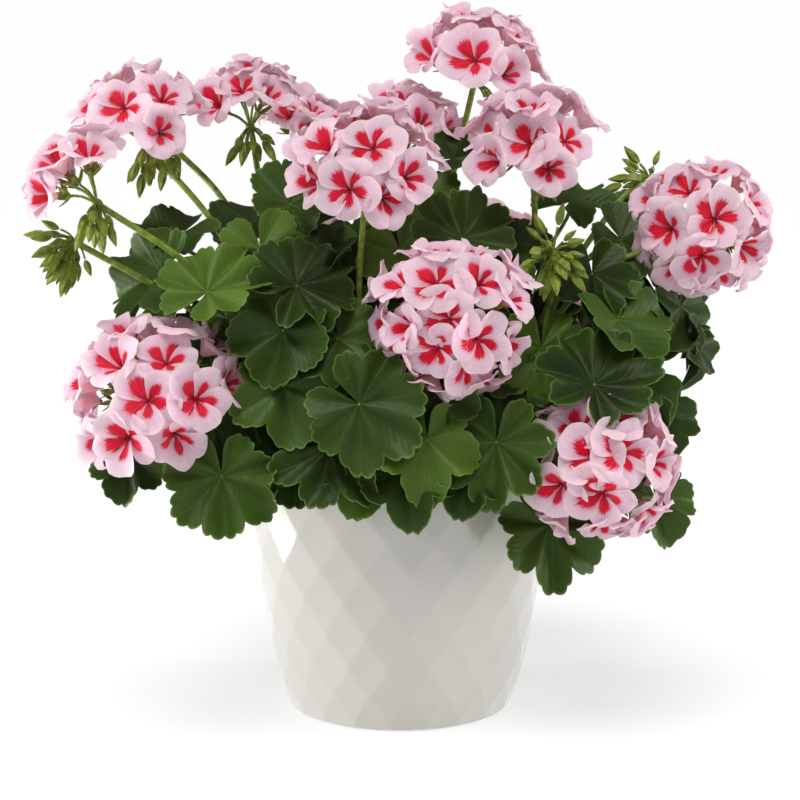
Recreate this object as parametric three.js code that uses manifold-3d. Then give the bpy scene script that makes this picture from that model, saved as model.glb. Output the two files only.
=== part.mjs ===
// A potted interspecific geranium: a white glazed pot with a pressed diamond pattern, potting soil,
// leafy shoots with lobed round leaves, and umbels of pink five-petalled flowers and green buds.
// Millimetres, +Z up, the front towards -Y. The origin is the middle of the pot's underside.

import * as THREE from 'three';
import { mergeVertices } from 'three/addons/utils/BufferGeometryUtils.js';
import Module from 'manifold-3d';

const wasm = await Module();
wasm.setup();

// The pot: its outer radius by height, at the corners of the diamond pattern
const POT_HEIGHT = 170;
const POT_RADII = [[0, 69], [3, 72.5], [23.5, 79.4], [44, 83.9], [64.5, 87.6], [85, 91],
  [105.5, 94], [126, 96], [146.5, 97.6], [167, 98.8]];
const POT_DIAMONDS = 20;            // around the pot
const POT_PATTERN_TURN = -95;       // degrees, where the first corner stands
const POT_WALL = 5;
const POT_FLOOR = 6;
const POT_INSIDE = [[6, 64], [12, 69.5], [85, 85.5], [168, 93.5]];  // the smooth wall inside
const POT_RIM_EDGE = 1.5;
const FIT = 0.3;                    // gap between pieces that touch

// The soil
const SOIL_TOP = 150;
const SOIL_RINGS = [30, 55, 76];    // radii of the rings that its uneven top is drawn on
const HOLE_DEPTH = 24;
const HOLE_ROOM = 1.4;              // a hole's radius beyond its stem's

// Greens
const STEM_RADIUS = 4.4;
const STEM_SIDES = 5;
const STALK_RADIUS = 2;             // the long flower stalks
const STALK_SIDES = 4;
const STALK_JOINTS = [0.95, 0.07];  // the first joint along the stem, and the step to the next
const PETIOLE_RADIUS = 1.3;
const PETIOLE_SIDES = 3;
const PETIOLE_LIFT = 0.6;           // its end above the middle of the blade at the hub
const PETIOLE_SEAT = 6.5;           // where it joins the blade, just past the hub of the veins
const PETIOLE_RISE = 46;            // how far below its blade a petiole leaves the stem
const PETIOLE_SPREAD = 0.24;        // how unevenly they leave it, times the stem's length
const PETIOLE_TURN_UP = 9;          // it comes up squarely under the blade from this far away
const RIM_PASS = 103;               // how far out the low petioles pass over the pot's rim
const CLEARANCE = 0.35;             // kept all round a leaf to the pieces that it passes

// Leaves: a round blade with seven shallow lobes, notched where the petiole joins it
const BLADE_THICKNESS = 1;
const LOBES = 7;
const SMALL_LEAF = 38;              // a blade up to this size has fewer lobes
const SMALL_LEAF_LOBES = 5;
const BLADE_SWEEP = 172;            // degrees to either side of the tip
const NOTCH_DEPTH = 0.83;           // notches between the lobes, times the reach of the lobes
const EAR_REACH = 0.42;             // the two corners beside the petiole, times the blade's size

// Flowers
const PETALS = 5;
const BLOOM_RISE = 5;               // petal tips above the throat
const NECK_SIDES = 3;
const NECK_RADIUS = 5;
const NECK_DROP = 3;                // the neck of the flower below its throat
const BLOOM_SINK = 14;              // the flower's foot below the throat
const PETAL_HALF_WIDTH = 22;        // degrees to the shoulders of a petal
const NOTCH_REACH = 0.62;           // where two petals part, times the flower's radius
const CORE_DROP = 9;                // the core's surface below the throats
const CORE_SEGMENTS = 8;
const CORE_HOLLOW = 0.34;           // the core's underside above the umbel's centre, times the reach
const DOME_SPOTS = 90;              // places tried on the dome
const BLOOM_SPACING = 53;           // degrees between neighbouring flowers in a head
const BUD_STALKS = [11, 20];        // the shortest and the longest
const BUD_SPREAD = 50;              // degrees that the buds of a head stand out round their middle
const BUD_DROOP = 0.35;
const BUD_LENGTH = 13;
const BUD_RADIUS = 2.6;
const KNOB_RADIUS = 3.6;
const PEDICEL_RADIUS = 0.9;
const PEDICELS = 2;                 // drawn under each dome, beside the one in its middle
const STALK_ROOM = 32;              // degrees kept free of buds round the stalk
const DOME_ROOM = 24;               // degrees kept free of buds below the edge of the dome

// Shoots: where each stands in the soil, and where its stem ends
const SHOOTS = {
  front_left: { base: [-26, -36], top: [-62, -66, 214] },
  front: { base: [6, -46], top: [6, -76, 222] },
  front_right: { base: [36, -34], top: [68, -62, 206] },
  right: { base: [48, 2], top: [88, -22, 246] },
  left: { base: [-48, 2], top: [-90, -24, 246] },
  middle: { base: [2, 6], top: [8, 6, 262] },
  back_left: { base: [-32, 36], top: [-66, 66, 232] },
  back: { base: [4, 50], top: [8, 88, 226] },
  back_right: { base: [36, 36], top: [72, 60, 232] },
};

// Heads: the umbel's centre, the way its dome faces (azimuth, elevation), how far its dome opens,
// how far the flowers stand from the centre, their radius, the shoot that carries it and the
// points that its stalk passes. The flowers are given by where they show from the front, to the
// right of and above the centre; more follow by rule. Buds stand out in a cone round budsToward.
const HEADS = {
  top: {
    at: [48, 48, 398], faces: [-70, 72], opens: 72, reach: 36, bloom: 22, shoot: 'middle',
    via: [[29, 30, 320]], buds: 1, budsToward: [-10, 5],
    shows: [[0, 9], [-30, 14], [22, 22], [-6, 33]],
  },
  top_left: {
    at: [-159, -8, 362], faces: [-110, 66], opens: 62, reach: 41, bloom: 21, shoot: 'left',
    via: [[-112, -24, 308]], buds: 5, budsToward: [-60, -55],
    shows: [[-9, 18], [-29, 20], [14, 26], [-36, 4], [8, 40]],
  },
  far_left: {
    at: [-179, -100, 334], faces: [172, 50], opens: 58, reach: 32, bloom: 21, shoot: 'left',
    via: [[-127, -76, 294]], buds: 4, budsToward: [-95, -60],
    shows: [[-25, 4], [-2, 23], [-19, 18]],
  },
  left_of_top: {
    at: [-96, 34, 370], faces: [-90, 82], opens: 64, reach: 32, bloom: 20, shoot: 'middle',
    via: [[-84, 26, 318], [-50, 16, 280]], buds: 5, budsToward: [-80, -50],
    shows: [[-4, 21], [-27, 19], [22, 23]],
  },
  small_back: {
    at: [-66, 84, 352], faces: [-100, 70], opens: 50, reach: 29, bloom: 16, shoot: 'back_left',
    via: [[-64, 78, 300]], buds: 0, budsToward: [0, 0],
    shows: [[-7, 20], [9, 22]],
  },
  centre_high: {
    at: [-21, -58, 343], faces: [-88, 62], opens: 88, reach: 36, bloom: 21, shoot: 'front',
    via: [[-22, -70, 258]], buds: 3, budsToward: [-90, -65],
    shows: [[-8, -7], [-21, 16], [5, 17], [25, 0], [-35, 8], [34, 16], [10, 38], [-14, 36]],
  },
  behind_centre: {
    at: [4, 56, 352], faces: [-80, 75], opens: 60, reach: 34, bloom: 19, shoot: 'back',
    via: [[6, 70, 290]], buds: 0, budsToward: [0, 0],
    shows: [[0, 30], [-15, 28], [15, 30]],
  },
  right_of_top: {
    at: [82, -26, 354], faces: [-100, 62], opens: 84, reach: 34, bloom: 21, shoot: 'middle',
    via: [[82, -16, 304], [56, -4, 266]], buds: 3, budsToward: [-90, -55],
    shows: [[-3, 6], [20, 9], [-27, 12], [7, 33], [31, 23]],
  },
  far_right: {
    at: [187, -30, 312], faces: [-80, 14], opens: 98, reach: 33, bloom: 21, shoot: 'right',
    via: [[124, -30, 284]], buds: 2, budsToward: [-100, -75],
    shows: [[-3, -18], [-21, -2], [4, 3], [-10, 21], [24, -13], [26, 12], [6, 30]],
  },
  centre: {
    at: [30, -105, 267], faces: [-88, 15], opens: 102, reach: 38, bloom: 21, shoot: 'front',
    via: [[22, -86, 238]], buds: 0, budsToward: [0, 0],
    shows: [[-1, -2], [18, 20], [-8, 17], [-29, 17], [15, -14], [-8, -20], [33, 8], [-27, -24],
      [-37, -7], [34, -18]],
  },
  low_left: {
    at: [-145, -92, 212], faces: [-118, 46], opens: 90, reach: 43, bloom: 22, shoot: 'front_left',
    via: [[-100, -80, 208]], buds: 2, budsToward: [170, -25],
    shows: [[-2, 2], [-20, 22], [8, 25], [24, 3], [-14, -19], [25, -21], [40, 12], [-40, 12],
      [-33, -22]],
  },
  low_right: {
    at: [119, -92, 175], faces: [-60, 12], opens: 104, reach: 39, bloom: 22, shoot: 'front_right',
    via: [[98, -78, 198]], buds: 2, budsToward: [-75, -65],
    shows: [[1, -15], [-23, -11], [-5, 6], [12, 8], [-13, 23], [9, 26], [-32, 11], [33, 2],
      [-22, -32], [28, -25]],
  },
  back_high: {
    at: [42, 126, 270], faces: [80, 40], opens: 90, reach: 38, bloom: 21, shoot: 'back_right',
    via: [[54, 100, 248]], buds: 2, budsToward: [90, -60], shows: [],
  },
  back_left_high: {
    at: [-72, 124, 262], faces: [118, 38], opens: 90, reach: 38, bloom: 21, shoot: 'back_left',
    via: [[-72, 98, 246]], buds: 2, budsToward: [120, -60], shows: [],
  },
  back_low: {
    at: [-12, 142, 208], faces: [95, 20], opens: 96, reach: 38, bloom: 21, shoot: 'back',
    via: [[-6, 116, 212]], buds: 2, budsToward: [95, -70], shows: [],
  },
  back_right_low: {
    at: [94, 120, 206], faces: [55, 25], opens: 96, reach: 38, bloom: 21, shoot: 'back_right',
    via: [[84, 94, 214]], buds: 2, budsToward: [30, -70], shows: [],
  },
};

// Bud clusters whose flowers are still closed
const BUD_CLUSTERS = {
  buds_left: { at: [-196, -66, 307], toward: [-172, -22], spread: 62, count: 10, shoot: 'left',
    via: [[-134, -62, 270]] },
  buds_top_left: { at: [-150, 34, 362], toward: [-70, -60], spread: 60, count: 6, shoot: 'left',
    via: [[-108, 16, 318]] },
  buds_right: { at: [160, 26, 337], toward: [-140, 20], spread: 60, count: 5, shoot: 'right',
    via: [[148, 18, 332], [112, -4, 290]] },
  buds_front_right: { at: [93, -62, 299], toward: [-90, 15], spread: 75, count: 8, shoot: 'right',
    via: [[94, -44, 274]] },
};

// Leaves that show from the front: the point where the petiole joins the blade, the blade's size
// from there to its tip, the azimuth and elevation that its upper face looks to, and how far its
// tip is turned from straight downhill
const FRONT_LEAVES = [
  [-25, -132, 222, 43, -84, 16, 62],
  [-106, -120, 174, 39, -92, 12, 4],
  [96, -88, 134, 42, -66, 14, 0],
  [-42, -112, 190, 41, -96, 30, -8],
  [16, -122, 196, 37, -90, 22, 0],
  [60, -122, 194, 42, -88, 20, -14],
  [158, -58, 148, 31, -68, 20, 15],
  [-166, -66, 174, 29, -100, 24, -10],
  [-112, -96, 200, 31, -82, 26, 22],
  [-115, -98, 281, 39, -108, 48, 160],
  [-142, -62, 286, 40, -125, 40, -50],
  [-98, -8, 316, 36, -105, 62, -150],
  [-132, -26, 305, 35, -100, 74, -30],
  [-72, -22, 327, 33, -75, 40, 150],
  [-85, -62, 303, 36, -78, 24, 10],
  [-62, -92, 284, 40, -70, 44, 120],
  [-70, -100, 258, 36, -95, 28, -10],
  [-38, -96, 252, 38, -85, 34, 15],
  [-72, -108, 220, 38, -98, 20, 12],
  [-64, -104, 184, 36, -100, 24, -4],
  [38, -52, 308, 40, -88, 50, 170],
  [0, -48, 300, 34, -95, 45, 20],
  [10, -8, 327, 34, -85, 60, 60],
  [34, 12, 352, 26, -80, 60, 120],
  [64, -40, 303, 34, -75, 40, 10],
  [60, -82, 224, 38, -78, 30, 18],
  [86, -74, 247, 39, -80, 28, -8],
  [112, -106, 228, 42, -70, 36, 150],
  [147, -48, 216, 38, -62, 34, 12],
  [138, -44, 222, 41, -50, 48, 40],
  [132, -66, 256, 38, -60, 40, 28],
  [166, -18, 262, 40, -40, 34, 20],
  [138, -20, 304, 36, -55, 36, 40],
  [144, 24, 322, 34, -50, 62, 60],
  [108, 14, 326, 33, -85, 62, 150],
  [118, -50, 286, 35, -70, 30, 0],
  [-128, -50, 236, 37, -118, 34, 6],
  [-150, -20, 246, 38, -155, 30, 10],
  [112, -70, 190, 36, -70, 26, 0],
];

// Leaves on the other sides follow a spiral over the crown, between two heights and two azimuths;
// the crown's radius is given by height
const CROWN_LEAVES = 30;
const CROWN_LOW = 168;
const CROWN_HIGH = 318;
const CROWN_RADII = [[150, 126], [190, 140], [240, 138], [280, 108], [318, 44]];
const CROWN_AZIMUTHS = [-30, 210];
const NUDGES = 64;                  // tries to place a leaf clear of the other pieces

const GLAZE = new THREE.MeshStandardMaterial({ color: 0xe9e8e5, roughness: 0.16, metalness: 0 });
const SOIL = new THREE.MeshStandardMaterial({ color: 0x3a2a20, roughness: 0.95, metalness: 0 });
const LEAF = new THREE.MeshStandardMaterial({ color: 0x3f6228, roughness: 0.62, metalness: 0 });
const STALK = new THREE.MeshStandardMaterial({ color: 0x6f8440, roughness: 0.6, metalness: 0 });
const PETAL = new THREE.MeshStandardMaterial({ color: 0xf0bfd2, roughness: 0.55, metalness: 0 });

const VIEW_DOWN = 10;               // degrees that the front view looks down

const radians = THREE.MathUtils.degToRad;
const radiansToDegrees = THREE.MathUtils.radToDeg;
const point = (x, y, z) => new THREE.Vector3(x, y, z);

// A repeatable draw from 0 to 1 for the n-th piece and the k-th of its properties
function draw(n, k) {
  return (0.5 + n * 0.6180339887 + k * 0.7548776662 + n * k * 0.1031) % 1;
}

// The unit vector with this azimuth and elevation in degrees
function direction(azimuth, elevation) {
  const flat = Math.cos(radians(elevation));
  return point(flat * Math.cos(radians(azimuth)), flat * Math.sin(radians(azimuth)),
    Math.sin(radians(elevation)));
}

// The value at x on the straight lines through a list of [x, value] pairs
function along(pairs, x) {
  const last = pairs.length - 1;
  if (x <= pairs[0][0]) return pairs[0][1];
  if (x >= pairs[last][0]) return pairs[last][1];
  const i = pairs.findIndex((pair) => pair[0] >= x);
  const [x0, y0] = pairs[i - 1];
  const [x1, y1] = pairs[i];
  return y0 + (y1 - y0) * (x - x0) / (x1 - x0);
}

// Closed meshes as solids that can be joined and cut, and back

function solidOf(geometry) {
  const plain = geometry.clone();
  plain.deleteAttribute('normal');
  plain.deleteAttribute('uv');
  const merged = mergeVertices(plain, 1e-4);
  return solidFrom(merged.attributes.position.array, merged.index.array);
}

function solidFrom(positions, triangles) {
  const make = (order) => new wasm.Manifold(new wasm.Mesh({
    numProp: 3,
    vertProperties: Float32Array.from(positions),
    triVerts: Uint32Array.from(order),
  }));
  const made = make(triangles);
  return made.volume() < 0 ? make([...triangles].reverse()) : made;
}

function joined(solids) {
  return solids.reduce((whole, next) => whole.add(next));
}

function meshOf(solid, name, material) {
  const { vertProperties, triVerts } = solid.getMesh();
  const geometry = new THREE.BufferGeometry();
  geometry.setAttribute('position', new THREE.BufferAttribute(vertProperties, 3));
  geometry.setIndex(new THREE.BufferAttribute(triVerts, 1));
  geometry.computeVertexNormals();
  const mesh = new THREE.Mesh(geometry, material);
  mesh.name = name;
  return mesh;
}

// Rings of points, each running round the Z axis, skinned one to the next whatever their counts;
// the first and the last ring are single points, so the skin is closed
function skinRings(rings) {
  const positions = rings.flat(2);
  const triangles = [];
  let start = 0;
  for (let k = 0; k + 1 < rings.length; k++) {
    const [low, high] = [rings[k], rings[k + 1]];
    const next = start + low.length;
    const angle = (ring, i) => (ring.length === 1 ? (i > 0 ? Infinity : -Infinity)
      : Math.atan2(ring[i % ring.length][1], ring[i % ring.length][0])
        + 2 * Math.PI * Math.floor(i / ring.length));
    const steps = (ring) => (ring.length === 1 ? 0 : ring.length);
    let [i, j] = [0, 0];
    while (i < steps(low) || j < steps(high)) {
      const advanceLow = j >= steps(high) || (i < steps(low) && angle(low, i + 1) <= angle(high, j + 1));
      const [a, b] = [start + i % low.length, next + j % high.length];
      if (advanceLow) {
        triangles.push(a, start + (i + 1) % low.length, b);
        i += 1;
      } else {
        triangles.push(next + (j + 1) % high.length, b, a);
        j += 1;
      }
    }
    start = next;
  }
  return solidFrom(positions, triangles);
}

// A ring of points round the Z axis, sorted by angle from -180 degrees
function ring(count, radius, z, turn = 0) {
  const points = [];
  for (let i = 0; i < count; i++) {
    const angle = radians(turn + 360 * i / count);
    const r = typeof radius === 'function' ? radius(i) : radius;
    const height = typeof z === 'function' ? z(i) : z;
    points.push([r * Math.cos(angle), r * Math.sin(angle), height]);
  }
  return points.sort((a, b) => Math.atan2(a[1], a[0]) - Math.atan2(b[1], b[0]));
}

// A stem with flat sides along a smooth curve through the points
function stemAlong(points, radius, sides, steps) {
  const section = new THREE.Shape();
  for (let i = 0; i < sides; i++) {
    const angle = 2 * Math.PI * (i + 0.5) / sides;
    const corner = [radius * Math.cos(angle), radius * Math.sin(angle)];
    if (i === 0) section.moveTo(...corner);
    else section.lineTo(...corner);
  }
  section.closePath();
  const path = points.length === 2 ? new THREE.LineCurve3(...points)
    : new THREE.CatmullRomCurve3(points, false, 'centripetal');
  return solidOf(new THREE.ExtrudeGeometry(section, { steps, bevelEnabled: false, extrudePath: path }));
}

// Pot

function makePot() {
  const half = 180 / POT_DIAMONDS;
  const outside = POT_RADII.map(([z, r], row) => ring(POT_DIAMONDS, r, z,
    POT_PATTERN_TURN + (row < 2 ? 0 : (row - 1) * half)));
  const [top, rimRadius] = POT_RADII[POT_RADII.length - 1];
  outside[outside.length - 1] = ring(2 * POT_DIAMONDS, rimRadius, top, POT_PATTERN_TURN);
  return skinRings([
    [[0, 0, 0]],
    ...outside,
    ring(2 * POT_DIAMONDS, rimRadius - POT_RIM_EDGE, POT_HEIGHT, POT_PATTERN_TURN),
    ring(POT_DIAMONDS, rimRadius - POT_WALL + 1, POT_HEIGHT, POT_PATTERN_TURN),
    ...[...POT_INSIDE].reverse().map(([z, r]) => ring(POT_DIAMONDS, r, z, POT_PATTERN_TURN)),
    [[0, 0, POT_FLOOR]],
  ]);
}

// Soil, with a plain hole for each stem

function makeSoil() {
  const side = (z) => ring(POT_DIAMONDS, along(POT_INSIDE, z) - FIT, z, POT_PATTERN_TURN);
  const uneven = (k) => (i) => SOIL_TOP + 3 * draw(i, k) - 0.02 * SOIL_RINGS[k];
  const plug = skinRings([
    [[0, 0, POT_FLOOR + FIT]],
    ring(POT_DIAMONDS, POT_INSIDE[0][1] - 2 * FIT, POT_FLOOR + FIT, POT_PATTERN_TURN),
    ...POT_INSIDE.slice(1, -1).map(([z]) => side(z)),
    side(SOIL_TOP - 2),
    ...SOIL_RINGS.map((r, k) => ring(8 + 3 * k, r, uneven(k), 11 * k)).reverse(),
    [[0, 0, SOIL_TOP + 3]],
  ]);
  return Object.values(SHOOTS).reduce((soil, { base: [x, y] }) => soil.subtract(stemAlong(
    [point(x, y, SOIL_TOP - HOLE_DEPTH), point(x, y, SOIL_TOP + 20)],
    STEM_RADIUS + HOLE_ROOM, STEM_SIDES, 1)), plug);
}

// Leaves

// The height of the blade at a place given by its reach from the petiole and its turn from the tip
function bladeHeight(reach, turn, size, form) {
  const [x, y, s] = [reach * Math.cos(turn), reach * Math.sin(turn), reach / size];
  return size * (form.cup * s * s + form.fold * Math.abs(y / size)
    - form.curl * (Math.max(0, x) / size) ** 2
    + form.wave * Math.sin(3 * turn + form.phase) * s * s);
}

function leafForm(n) {
  return {
    cup: 0.1 + 0.12 * draw(n, 1),
    fold: 0.02 + 0.16 * draw(n, 2),
    curl: 0.05 + 0.25 * draw(n, 3),
    wave: 0.05 + 0.05 * draw(n, 4),
    phase: 6.28 * draw(n, 5),
  };
}

// The blade in its own frame: x to the tip, y across, z out of its upper face. Both faces are
// split alike, into a fan round the hub of the veins at the origin.
function bladeSolid(size, form, spare) {
  const lobes = lobesOf(size);
  const face = [[0, 0, 0]];
  for (let i = 0; i <= 2 * lobes; i++) {
    const turn = radians((i / lobes - 1) * BLADE_SWEEP);
    const ear = i === 0 || i === 2 * lobes;
    const lobe = (0.85 + 0.15 * Math.cos(turn)) * (i % 2 ? 1 : NOTCH_DEPTH);
    const reach = size * (ear ? EAR_REACH : lobe) + spare;
    face.push([reach * Math.cos(turn), reach * Math.sin(turn), bladeHeight(reach, turn, size, form)]);
  }
  const half = BLADE_THICKNESS / 2 + spare;
  const positions = [half, -half].flatMap((lift) => face.map(([x, y, z]) => [x, y, z + lift]));
  const under = face.length;
  const triangles = [];
  face.forEach((_, a) => {
    const b = (a + 1) % under;
    if (a && b) triangles.push(0, a, b, under, under + b, under + a);
    triangles.push(a, under + a, under + b, a, under + b, b);
  });
  return solidFrom(positions.flat(), triangles);
}

function lobesOf(size) {
  return size > SMALL_LEAF ? LOBES : SMALL_LEAF_LOBES;
}

// The matrix that lays a blade at a point, with its face looking along azimuth and elevation and
// its tip turned from downhill
function bladePlace([x, y, z, , azimuth, elevation, turn]) {
  const normal = direction(azimuth, elevation);
  const downhill = direction(azimuth, elevation - 90);
  const tip = downhill.clone().applyAxisAngle(normal, radians(turn));
  const across = normal.clone().cross(tip);
  return new THREE.Matrix4().makeBasis(tip, across, normal).setPosition(x, y, z);
}

// The centre line of a shoot's stem, straight in the soil and then leaning to its end
function stemPath({ base: [x, y], top: [tx, ty, tz] }) {
  return new THREE.CatmullRomCurve3([
    point(x, y, SOIL_TOP - HOLE_DEPTH + FIT),
    point(x, y, SOIL_TOP - 10),
    point(x, y, SOIL_TOP + 8),
    point(x + 0.35 * (tx - x), y + 0.35 * (ty - y), SOIL_TOP + 0.45 * (tz - SOIL_TOP)),
    point(tx, ty, tz),
  ], false, 'centripetal');
}

// The petiole's way from its shoot to the blade, which it meets from below
function petiolePoints(leaf, n, shoot) {
  const turn = radians(BLADE_SWEEP / lobesOf(leaf[3]) / 2);
  const end = point(PETIOLE_SEAT * Math.cos(turn), PETIOLE_SEAT * Math.sin(turn), PETIOLE_LIFT)
    .applyMatrix4(bladePlace(leaf));
  const normal = direction(leaf[4], leaf[5]);
  const path = stemPath(shoot);
  const rise = THREE.MathUtils.clamp(leaf[2] - PETIOLE_RISE, SOIL_TOP + 14,
    shoot.top[2] - 4);
  const t = 0.4 + 0.6 * (rise - SOIL_TOP) / (shoot.top[2] - SOIL_TOP);
  const uneven = PETIOLE_SPREAD * (draw(n, 6) - 0.6);
  const start = path.getPoint(THREE.MathUtils.clamp(t + uneven, 0.42, 0.97));
  const seat = end.clone().addScaledVector(normal, -PETIOLE_TURN_UP);
  const middle = start.clone().lerp(seat, 0.5);
  middle.z = Math.max(middle.z, start.z) + 6 + 0.12 * start.distanceTo(seat);
  if (seat.z > start.z + 30) middle.z = start.z + 0.62 * (seat.z - start.z) + 8;
  if (seat.z < POT_HEIGHT + 10) {
    const out = Math.hypot(seat.x, seat.y);
    middle.set(seat.x * RIM_PASS / out, seat.y * RIM_PASS / out, POT_HEIGHT + 13);
  }
  return [start, middle, seat, end];
}

function leafSolid(leaf, n, shoot, spare) {
  const blade = bladeSolid(leaf[3], leafForm(n), spare).transform(bladePlace(leaf).toArray());
  return blade.add(stemAlong(petiolePoints(leaf, n, shoot), PETIOLE_RADIUS + spare, PETIOLE_SIDES, 3));
}

// The shoot whose stem ends nearest to the leaf's side of the plant
function nearestShoot([x, y]) {
  return Object.keys(SHOOTS).filter((name) => name !== 'middle' || Math.hypot(x, y) < 62)
    .sort((a, b) => away(a) - away(b))[0];
  function away(name) {
    const [tx, ty] = SHOOTS[name].top;
    return Math.hypot(tx * 1.3 - x, ty * 1.3 - y);
  }
}

// Leaves on the sides and back, on a spiral over the crown
function crownLeaves() {
  const leaves = [];
  const [from, to] = CROWN_AZIMUTHS;
  for (let i = 0; i < CROWN_LEAVES; i++) {
    const share = (i + 0.5) / CROWN_LEAVES;
    const z = CROWN_LOW + (CROWN_HIGH - CROWN_LOW) * share ** 1.25;
    const azimuth = from + (to - from) * ((i * 0.381966 + 0.1) % 1);
    const radius = along(CROWN_RADII, z) * (0.92 + 0.14 * draw(i, 9));
    const spot = direction(azimuth, 0).multiplyScalar(radius);
    leaves.push([spot.x, spot.y, z, 36 + 7 * draw(i, 10), azimuth + 30 * (draw(i, 11) - 0.5),
      18 + 48 * share + 12 * draw(i, 12), 60 * (draw(i, 13) - 0.5)]);
  }
  return leaves;
}

// The k-th small turn and shift tried until a leaf passes clear of the other pieces, each try a
// little further away: azimuth, elevation and tip in degrees, outwards and up in millimetres
function nudge(k) {
  const widest = [60, 44, 70, 30, 26];
  return widest.map((width, j) => width * (k / NUDGES) * (draw(k, 41 + j) - 0.5));
}

function nudged(leaf, [azimuth, elevation, tip, out, up]) {
  const away = Math.hypot(leaf[0], leaf[1]);
  const shift = (away + out) / away;
  return [leaf[0] * shift, leaf[1] * shift, leaf[2] + up, leaf[3], leaf[4] + azimuth,
    leaf[5] + elevation, leaf[6] + tip];
}

// Solids already placed, each with its node's name and its box, to keep new leaves clear of
const placed = [];

function remember(node, solid) {
  placed.push({ node, solid, box: solid.boundingBox() });
}

function meets(solid, keep) {
  const box = solid.boundingBox();
  return placed.some((other) => keep(other.node)
    && [0, 1, 2].every((k) => box.min[k] < other.box.max[k] && box.max[k] > other.box.min[k])
    && solid.intersect(other.solid).volume() > 1e-4);
}

// Places one leaf on its shoot, clear of every other node and, where it can be, of its own
// shoot's leaves; a leaf with no clear place is left out
function growLeaf(leaf, n) {
  const name = nearestShoot(leaf);
  const ways = Array.from({ length: NUDGES }, (_, k) => ({ k, way: nudged(leaf, nudge(k)) }))
    .filter(({ way }) => !meets(leafSolid(way, n, SHOOTS[name], CLEARANCE), (node) => node !== name));
  const tries = ways.map(({ k, way }) => ({ k, solid: leafSolid(way, n, SHOOTS[name], 0) }));
  const [best] = tries.map(({ k, solid }) => ({ solid, cost: k + crossedOwn(solid, name) }))
    .sort((a, b) => a.cost - b.cost);
  if (!best) return;
  leavesOf[name].push(best.solid);
  remember(name, best.solid);
}

// How much a leaf would cut through its own shoot, in triangles of the cuts
function crossedOwn(solid, name) {
  return [stems[name], ...leavesOf[name]]
    .reduce((sum, other) => sum + solid.intersect(other).numTri(), 0);
}

// Heads

// A flower in its own frame: its throat at the origin, its petals spread round Z above a foot
function bloomSolid(radius) {
  const positions = [[0, 0, 0]];
  for (let i = 0; i < PETALS; i++) {
    for (const [turn, reach, rise] of [
      [-180 / PETALS, NOTCH_REACH, 0.3],
      [-PETAL_HALF_WIDTH, 1, 1],
      [PETAL_HALF_WIDTH, 1, 1],
    ]) {
      const angle = radians(90 + 360 * i / PETALS + turn);
      const r = radius * reach;
      positions.push([r * Math.cos(angle), r * Math.sin(angle), BLOOM_RISE * rise]);
    }
  }
  const count = positions.length - 1;
  const triangles = [];
  const neck = count + 1;
  const foot = neck + NECK_SIDES;
  for (let i = 0; i < NECK_SIDES; i++) {
    const angle = radians(90 - 180 / PETALS + 360 * (i + 0.5) / NECK_SIDES);
    positions.push([NECK_RADIUS * Math.cos(angle), NECK_RADIUS * Math.sin(angle), -NECK_DROP]);
    triangles.push(foot, neck + (i + 1) % NECK_SIDES, neck + i);
  }
  positions.push([0, 0, -BLOOM_SINK]);
  const share = (i) => neck + Math.floor(i * NECK_SIDES / count) % NECK_SIDES;
  for (let i = 0; i < count; i++) {
    const [a, b] = [1 + i, 1 + (i + 1) % count];
    triangles.push(0, a, b, share(i), b, a);
    if (share(i + 1) !== share(i)) triangles.push(share(i), share(i + 1), b);
  }
  return solidFrom(positions.flat(), triangles);
}

// The directions that a head's flowers stand in: first those that show from the front, then a
// spiral over the dome, each kept if it isn't too near to one before it
function bloomDirections(head) {
  const axis = direction(...head.faces);
  const right = point(1, 0, 0);
  const up = direction(90, 90 - VIEW_DOWN);
  const nearer = direction(-90, VIEW_DOWN);
  const shown = head.shows.map(([across, above]) => {
    const shrink = Math.min(1, 0.98 * head.reach / Math.hypot(across, above));
    const [x, z] = [across * shrink, above * shrink];
    const depth = Math.sqrt(head.reach ** 2 - x ** 2 - z ** 2);
    return point(0, 0, 0).addScaledVector(right, x).addScaledVector(up, z)
      .addScaledVector(nearer, depth).normalize();
  });
  const widest = 1 - Math.cos(radians(head.opens - 4));
  const turnToAxis = new THREE.Quaternion().setFromUnitVectors(point(0, 0, 1), axis);
  const spiral = Array.from({ length: DOME_SPOTS }, (_, i) => (
    direction(i * 137.508, radiansToDegrees(Math.asin(1 - widest * (i + 0.5) / DOME_SPOTS)))
      .applyQuaternion(turnToAxis)));
  const kept = [];
  for (const way of [...shown, ...spiral]) {
    const apart = kept.every((other) => way.angleTo(other) > radians(BLOOM_SPACING));
    if (apart && way.angleTo(axis) < radians(head.opens)) kept.push(way);
  }
  return kept;
}

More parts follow.
